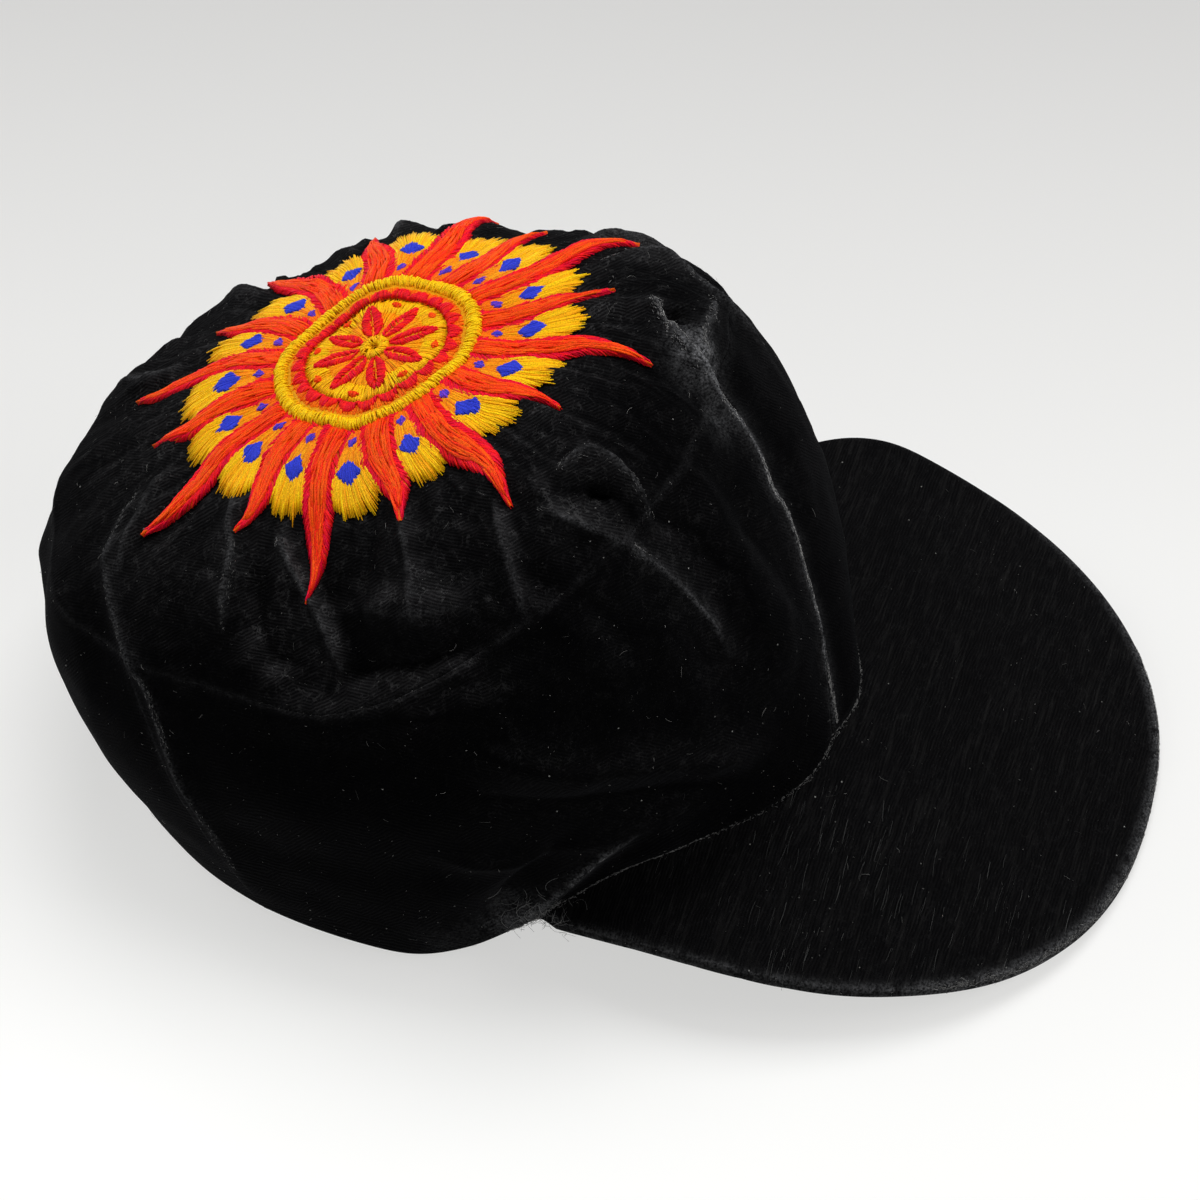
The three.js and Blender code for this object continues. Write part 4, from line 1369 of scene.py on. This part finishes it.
class CAP_OT_wear(bpy.types.Operator):
    """Lay the pale fibres of worn pile along the creases, and the frayed tuft at the brim's corner"""

    bl_idname = "cap.wear"
    bl_label = "Worn pile"

    def execute(self, context):
        settings = context.scene.cap_lint
        random = np.random.default_rng(settings.seed + 1)
        velvet = tree_of(*map(velvet_mesh, (*CROWN_NODES, "brim")))
        parts = [self.fold(random, velvet, *row) for row in WORN_FOLDS]
        parts += [part(random, velvet) for part in (self.brim_line, self.brim_edge, self.fray)]
        obj = mesh_object("worn_pile", *joined(parts))
        finish_piece(obj, thread_material("worn_fibre"))
        return {"FINISHED"}

    def along(self, random, velvet, path, count, scatter, brightness, lengths=(0.25, 0.8)):
        """Fibres scattered along a path of points on the velvet, mostly lying along it."""
        at = random.uniform(0, len(path) - 1.001, count)
        index = at.astype(int)
        share = (at - index)[:, None]
        spot = path[index] * (1 - share) + path[index + 1] * share
        forward = unit(path[index + 1] - path[index])
        spot += random.normal(0, 1, (count, 3)) * scatter * MM
        base, up = laid_on(velvet, spot)
        forward = unit(forward + random.normal(0, 0.35, (count, 3)))
        forward = unit(forward - up * (forward * up).sum(1, keepdims=True))
        length = random.uniform(*lengths, count) * MM
        lift = 0.06 * MM + random.uniform(0, 0.12, (count, 1)) * MM * np.ones((1, 2))
        grey = brightness * random.uniform(0.3, 1.6, (count, 1)) * np.array([[1.0, 0.99, 0.98]])
        radii = random.uniform(0.03, 0.055, count) * MM
        return curved_fibres(base, up, forward, length, random.normal(0, 0.2, count), lift, radii, grey)

    def fold(self, random, velvet, name, density, scatter, brightness):
        """Fibres along a fold's crest."""
        path = smooth_path(np.array(FOLD_PATHS[name], float) * MM)
        length = np.linalg.norm(np.diff(path, axis=0), axis=1).sum() / MM
        return self.along(random, velvet, path, int(length * density), scatter, brightness)

    def brim_line(self, random, velvet):
        """The worn line where the crown's hem lies on the brim."""
        hem = np.concatenate([points_of(velvet_mesh(node)) for node in SIDE_NODES])
        low = hem[(hem[:, 1] < 0) & (hem[:, 2] < 45 * MM)]
        from_middle = low[:, :2] - HEM_MIDDLE
        turns = np.arctan2(-from_middle[:, 0], -from_middle[:, 1])
        path = []
        for turn in np.linspace(turns.min() + 0.02, turns.max() - 0.02, 44):
            near = low[np.argsort(np.abs(turns - turn))[:60]]
            lowest = near[near[:, 2] < near[:, 2].min() + 1.2 * MM]
            path.append(lowest[np.linalg.norm(lowest[:, :2] - HEM_MIDDLE, axis=1).argmax()])
        return self.along(random, velvet, np.array(path), 1900, 0.3, 0.16)

    def brim_edge(self, random, velvet):
        """Worn fibres along the front and the near side of the brim's free edge."""
        brim = points_of(velvet_mesh("brim"))
        path = []
        for turn in np.linspace(-0.6, 1.0, 60):
            way = np.array((-math.sin(turn), -math.cos(turn)))
            reach = (brim[:, :2] - np.array((5, -20)) * MM) @ way
            path.append(brim[reach.argmax()])
        top = np.array(path) + np.array((0, 0, 1)) * MM
        return self.along(random, velvet, top, 1700, 0.55, 0.16)

    def fray(self, random, velvet):
        """A tuft of loose ends where the hem and the brim's corner meet."""
        count = 170
        scattered = random.normal(0, 1, (count, 3)) * np.array((2.5, 4.5, 4.0)) * MM
        base, up = laid_on(velvet, FRAYED_CORNER + scattered)
        forward = unit(np.cross(up, random.normal(0, 1, (count, 3))))
        length = random.uniform(1.5, 6.0, count) * MM
        arch = np.sin(math.pi * np.linspace(0, 1, 7))
        lift = 0.15 * MM + random.uniform(0.1, 1.0, (count, 1)) * MM * arch
        grey = random.uniform(0.03, 0.22, (count, 1)) * np.ones((1, 3))
        radii = random.uniform(0.025, 0.045, count) * MM
        bend = random.normal(0, 0.7, count)
        return curved_fibres(base, up, forward, length, bend, lift, radii, grey)


class CAP_OT_lint(bpy.types.Operator):
    """Scatter lint and dust fibres over the velvet"""

    bl_idname = "cap.lint"
    bl_label = "Lint"
    core = np.array((0, 0.02, 0.03))
    clear_of_sun = 52 * MM

    def execute(self, context):
        settings = context.scene.cap_lint
        random = np.random.default_rng(settings.seed)
        spots, ways = [], []
        for node in (*CROWN_NODES, "brim"):
            mesh = velvet_mesh(node)
            places, normals = points_of(mesh), normals_of(mesh)
            outward = (normals * (places - self.core)).sum(1) > 0.01
            outward &= places[:, 2] > 4 * MM
            spots.append(places[outward])
            ways.append(normals[outward])
        spots, ways = np.concatenate(spots), np.concatenate(ways)
        clear = np.linalg.norm(spots - sun_middle(), axis=1) > self.clear_of_sun
        spots, ways = spots[clear], ways[clear]
        obj = mesh_object("lint", *joined([
            self.fibres(random, spots, ways, settings.fibre_count, (0.6, 2.6), (0.015, 0.026), 6),
            self.fibres(random, spots, ways, settings.speck_count, (0.12, 0.45), (0.02, 0.045), 3),
            self.strokes(random, spots, ways, settings.stroke_count),
        ]))
        finish_piece(obj, thread_material("lint_fibre"))
        return {"FINISHED"}

    def strokes(self, random, spots, ways, count):
        """Faint straight marks across the brim, where a brush has raised the pile."""
        right_part = (spots[:, 0] / MM < -28) & (spots[:, 0] / MM > -84)
        on_brim = (spots[:, 1] < -30 * MM) & (spots[:, 2] < 30 * MM) & (ways[:, 2] > 0.8) & right_part
        spots, ways = spots[on_brim], ways[on_brim]
        chosen = random.integers(0, len(spots), count)
        base, up = spots[chosen], ways[chosen]
        forward = unit(np.array((1.0, 0.05, 0.0)) + random.normal(0, 0.06, (count, 3)))
        forward = unit(forward - up * (forward * up).sum(1, keepdims=True))
        length = random.uniform(1.0, 8, count) * MM
        lift = np.full((count, 4), 0.08 * MM)
        grey = random.uniform(0.02, 0.22, (count, 1)) ** 1.3 * np.ones((1, 3))
        radii = random.uniform(0.018, 0.032, count) * MM
        return curved_fibres(base, up, forward, length, random.normal(0, 0.05, count), lift, radii, grey)

    def fibres(self, random, spots, ways, count, lengths, widths, steps):
        """Fibres of these lengths and widths in mm that lie all ways on the velvet."""
        chosen = random.integers(0, len(spots), count)
        base, up = spots[chosen], ways[chosen]
        forward = unit(np.cross(up, random.normal(0, 1, (count, 3))))
        length = random.uniform(*lengths, count) * MM
        share = np.linspace(-0.5, 0.5, steps)
        lift = 0.1 * MM + 0.2 * MM * random.uniform(0, 1, (count, 1)) * np.cos(3 * share)
        grey = (0.04 + 0.4 * random.uniform(0, 1, (count, 1)) ** 2) * np.array([[1.0, 0.98, 0.95]])
        radii = random.uniform(*widths, count) * MM
        return curved_fibres(base, up, forward, length, random.normal(0, 0.16, count), lift, radii, grey)


# Stage

class CAP_OT_stage(bpy.types.Operator):
    """Set the pale floor, the soft lights and the camera"""

    bl_idname = "cap.stage"
    bl_label = "Stage"
    floor_drop = 0.2 * MM
    # The way along the floor in which its painted shade deepens, away from the camera's side.
    sweep = (0.956, 0.292, 0.0)
    lit_spot = (0, 0, 0.05)

    def execute(self, context):
        settings = context.scene.cap_stage
        bpy.ops.object.select_all(action="DESELECT")
        bpy.ops.mesh.primitive_plane_add(size=8, location=(0, 0, -self.floor_drop))
        floor = bpy.context.object
        floor.name = "floor"
        select_only(floor)
        bpy.ops.object.transform_apply(location=True, rotation=False, scale=False)
        material, tree, surface = new_material("pale_floor")
        place = add_node(tree, "ShaderNodeTexCoord").outputs["Object"]
        depth = add_node(tree, "ShaderNodeVectorMath", [
            (0, place), (1, self.sweep),
        ], operation="DOT_PRODUCT").outputs["Value"]
        # Painted shade: the floor darkens away from the camera's side, standing in for light that falls
        # off, and pales again far off.
        darker = spread(tree, depth, -0.12, 0.32)
        pale_again = spread(tree, depth, 0.42, 1.0, 1.0, 0.0)
        share = multiplied(tree, darker, pale_again)
        colour = mixed(tree, share, (*settings.floor_colour, 1), (*settings.far_colour, 1))
        # The floor glows, though it is no lamp, and lifts the shadows on it.
        glow = mixed(tree, share, (*settings.floor_glow, 1), (*settings.far_glow, 1))
        tree.links.new(colour, surface.inputs["Base Color"])
        tree.links.new(glow, surface.inputs["Emission Color"])
        surface.inputs["Emission Strength"].default_value = 1.0
        surface.inputs["Roughness"].default_value = 0.9
        surface.inputs["Specular IOR Level"].default_value = 0.1
        floor.data.materials.append(material)
        self.lights(context, settings)
        self.camera(context, settings)
        return {"FINISHED"}

    def lights(self, context, settings):
        """A pale room and three soft lights, each a name, a place, a size and a power."""
        world = bpy.data.worlds.new("studio")
        context.scene.world = world
        world.use_nodes = True
        background = world.node_tree.nodes["Background"]
        background.inputs["Color"].default_value = (1.0, 0.995, 0.985, 1)
        background.inputs["Strength"].default_value = settings.room_light
        for name, place, size, power in (
            ("overhead softbox", (0.5, 0.05, 1.5), 1.0, settings.overhead_power),
            ("softbox before the brim", (0.25, -1.35, 0.85), 0.9, settings.side_power),
            ("softbox behind the cap", (0.25, 1.35, 0.85), 0.9, settings.side_power),
        ):
            lamp = bpy.data.lights.new(name, "AREA")
            lamp.size = size
            lamp.energy = power
            obj = bpy.data.objects.new(name, lamp)
            context.collection.objects.link(obj)
            obj.location = place
            sight = Vector(self.lit_spot) - Vector(place)
            obj.rotation_euler = sight.to_track_quat("-Z", "Y").to_euler()
        context.scene.view_settings.view_transform = "Standard"

    def camera(self, context, settings):
        """The camera that looks down at the cap's right side and its brim."""
        lens = bpy.data.cameras.new("camera")
        lens.lens = settings.lens
        camera = bpy.data.objects.new("camera", lens)
        context.collection.objects.link(camera)
        turn, rise = settings.camera_turn, settings.camera_rise
        flat = math.cos(rise)
        back = Vector((math.sin(turn) * flat, -math.cos(turn) * flat, math.sin(rise)))
        camera.location = Vector(settings.camera_aim) + back * settings.camera_distance
        camera.rotation_euler = (-back).to_track_quat("-Z", "Y").to_euler()
        context.scene.camera = camera


# Settings

def colour_property(name, description, default):
    """A colour that the user may change."""
    return FloatVectorProperty(name=name, description=description, default=default,
                               subtype="COLOR", size=3, min=0, max=1)


class VelvetSettings(bpy.types.PropertyGroup):
    """Colours of the pile, and how the cloth is eased."""

    pile_colour: colour_property("Pile", "Colour of upright pile", (0.0007, 0.0007, 0.0009))
    # Painted sheen: the paler colour laid where the pile faces the light, standing for pile that lies
    # flat.
    painted_sheen_colour: colour_property("Flat pile", "Colour of pile that lies flat", (0.04, 0.039, 0.041))
    streak_colour: colour_property("Streaks", "Colour of the marks of a brush", (0.022, 0.0215, 0.021))
    crease_colour: colour_property("Creases", "Colour of pile along fine creases", (0.085, 0.084, 0.086))
    glint_colour: colour_property("Glints", "Colour of pile tips that shine", (0.07, 0.07, 0.072))
    rubbed_colour: colour_property("Rubbed pile", "Colour where the ground shows", (0.17, 0.172, 0.18))
    dust_colour: colour_property("Dust", "Colour of dust specks", (0.25, 0.25, 0.24))
    row_spacing: FloatProperty(name="Row spacing", description="Between rows of pile", default=0.78 * MM,
                               unit="LENGTH")
    sheen: FloatProperty(name="Sheen", description="Strength of the velvet's sheen", default=0.012)
    extra_width: FloatProperty(name="Extra width", description="Share by which the cloth is eased",
                               default=0.12, subtype="FACTOR")
    bending_stiffness: FloatProperty(name="Bending stiffness", description="Of the cloth", default=0.08)
    pucker_limit: FloatProperty(name="Pucker limit", description="The farthest that cloth may move",
                                default=4.0 * MM, unit="LENGTH")
    settle_steps: IntProperty(name="Settling steps", description="Frames of simulation", default=24)


class StitchSettings(bpy.types.PropertyGroup):
    """Sizes and colours of the threads."""

    thread_width: FloatProperty(name="Thread width", description="Thickness of a stitch",
                                default=0.52 * MM, unit="LENGTH")
    stitch_spacing: FloatProperty(name="Stitch spacing", description="Between neighbouring stitches",
                                  default=0.42 * MM, unit="LENGTH")
    ray_padding: FloatProperty(name="Ray padding", description="Height of the padding under a ray",
                               default=1.15 * MM, unit="LENGTH")
    crimson: colour_property("Crimson", "Thread along the edges of the rays", (0.78, 0.002, 0.03))
    red: colour_property("Red", "Thread of the rays", (0.98, 0.022, 0.006))
    orange: colour_property("Orange", "Thread down the middle of the rays", (1.0, 0.115, 0.003))
    amber: colour_property("Amber", "Thread at the foot of the petals", (0.98, 0.22, 0.003))
    gold: colour_property("Gold", "Thread of the petals", (1.0, 0.42, 0.004))
    yellow: colour_property("Yellow", "Thread of the ring and the petal tips", (1.0, 0.62, 0.004))
    blue: colour_property("Blue", "Thread of the lozenges", (0.03, 0.05, 0.62))
    violet: colour_property("Violet", "Thread of the dots", (0.2, 0.04, 0.55))


class LintSettings(bpy.types.PropertyGroup):
    """How much lint lies on the velvet."""

    fibre_count: IntProperty(name="Fibres", description="Number of lint fibres", default=260)
    speck_count: IntProperty(name="Specks", description="Number of short dust specks", default=1500)
    stroke_count: IntProperty(name="Strokes", description="Number of marks on the brim", default=190)
    seed: IntProperty(name="Seed", description="Seed of the scatter", default=11)


class StageSettings(bpy.types.PropertyGroup):
    """Floor, lights and camera."""

    floor_colour: colour_property("Floor", "Colour of the floor before the cap", (0.40, 0.40, 0.395))
    # Painted shade: the floor is darker behind the cap.
    far_colour: colour_property("Far floor", "Colour of the floor behind the cap", (0.31, 0.309, 0.306))
    floor_glow: colour_property("Floor glow", "Light of the floor before the cap", (0.62, 0.62, 0.612))
    far_glow: colour_property("Far glow", "Light of the floor behind the cap", (0.3, 0.298, 0.294))
    room_light: FloatProperty(name="Room light", description="Strength of light all round", default=0.18)
    overhead_power: FloatProperty(name="Overhead", description="Power in watts", default=17.0)
    side_power: FloatProperty(name="Sides", description="Power in watts", default=9.0)
    lens: FloatProperty(name="Lens", description="Focal length in mm", default=110.0)
    camera_turn: FloatProperty(name="Turn", description="Round the cap from the brim's side",
                               default=math.radians(-73), subtype="ANGLE")
    camera_rise: FloatProperty(name="Rise", description="Above the horizon",
                               default=math.radians(45), subtype="ANGLE")
    camera_distance: FloatProperty(name="Distance", description="From the aim", default=0.9,
                                   unit="LENGTH")
    camera_aim: FloatVectorProperty(name="Aim", description="Point that the camera looks at",
                                    default=(-0.0047, 0.001, 0.047), subtype="TRANSLATION")


class CAP_PT_panel(bpy.types.Panel):
    """Lists the pieces of the cap"""

    bl_idname = "CAP_PT_panel"
    bl_label = "Velvet cap"
    bl_space_type = "VIEW_3D"
    bl_region_type = "UI"
    bl_category = "Cap"

    def draw(self, context):
        for step in STEPS:
            self.layout.operator(step.bl_idname)


STEPS = (CAP_OT_stage, CAP_OT_crown, CAP_OT_brim, CAP_OT_petals, CAP_OT_rays, CAP_OT_ring, CAP_OT_middle,
         CAP_OT_wear, CAP_OT_lint)
SETTINGS = {
    "cap_velvet": VelvetSettings,
    "cap_stitches": StitchSettings,
    "cap_lint": LintSettings,
    "cap_stage": StageSettings,
}


def register():
    for cls in (*SETTINGS.values(), *STEPS, CAP_PT_panel):
        bpy.utils.register_class(cls)
    for name, cls in SETTINGS.items():
        setattr(bpy.types.Scene, name, PointerProperty(type=cls))


def unregister():
    for name in SETTINGS:
        delattr(bpy.types.Scene, name)
    for cls in (CAP_PT_panel, *reversed(STEPS), *SETTINGS.values()):
        bpy.utils.unregister_class(cls)


def main():
    register()
    bpy.ops.cap.stage()
    bpy.ops.cap.crown()
    bpy.ops.cap.brim()
    bpy.ops.cap.petals()
    bpy.ops.cap.rays()
    bpy.ops.cap.ring()
    bpy.ops.cap.middle()
    bpy.ops.cap.wear()
    bpy.ops.cap.lint()


if __name__ == "__main__":
    main()
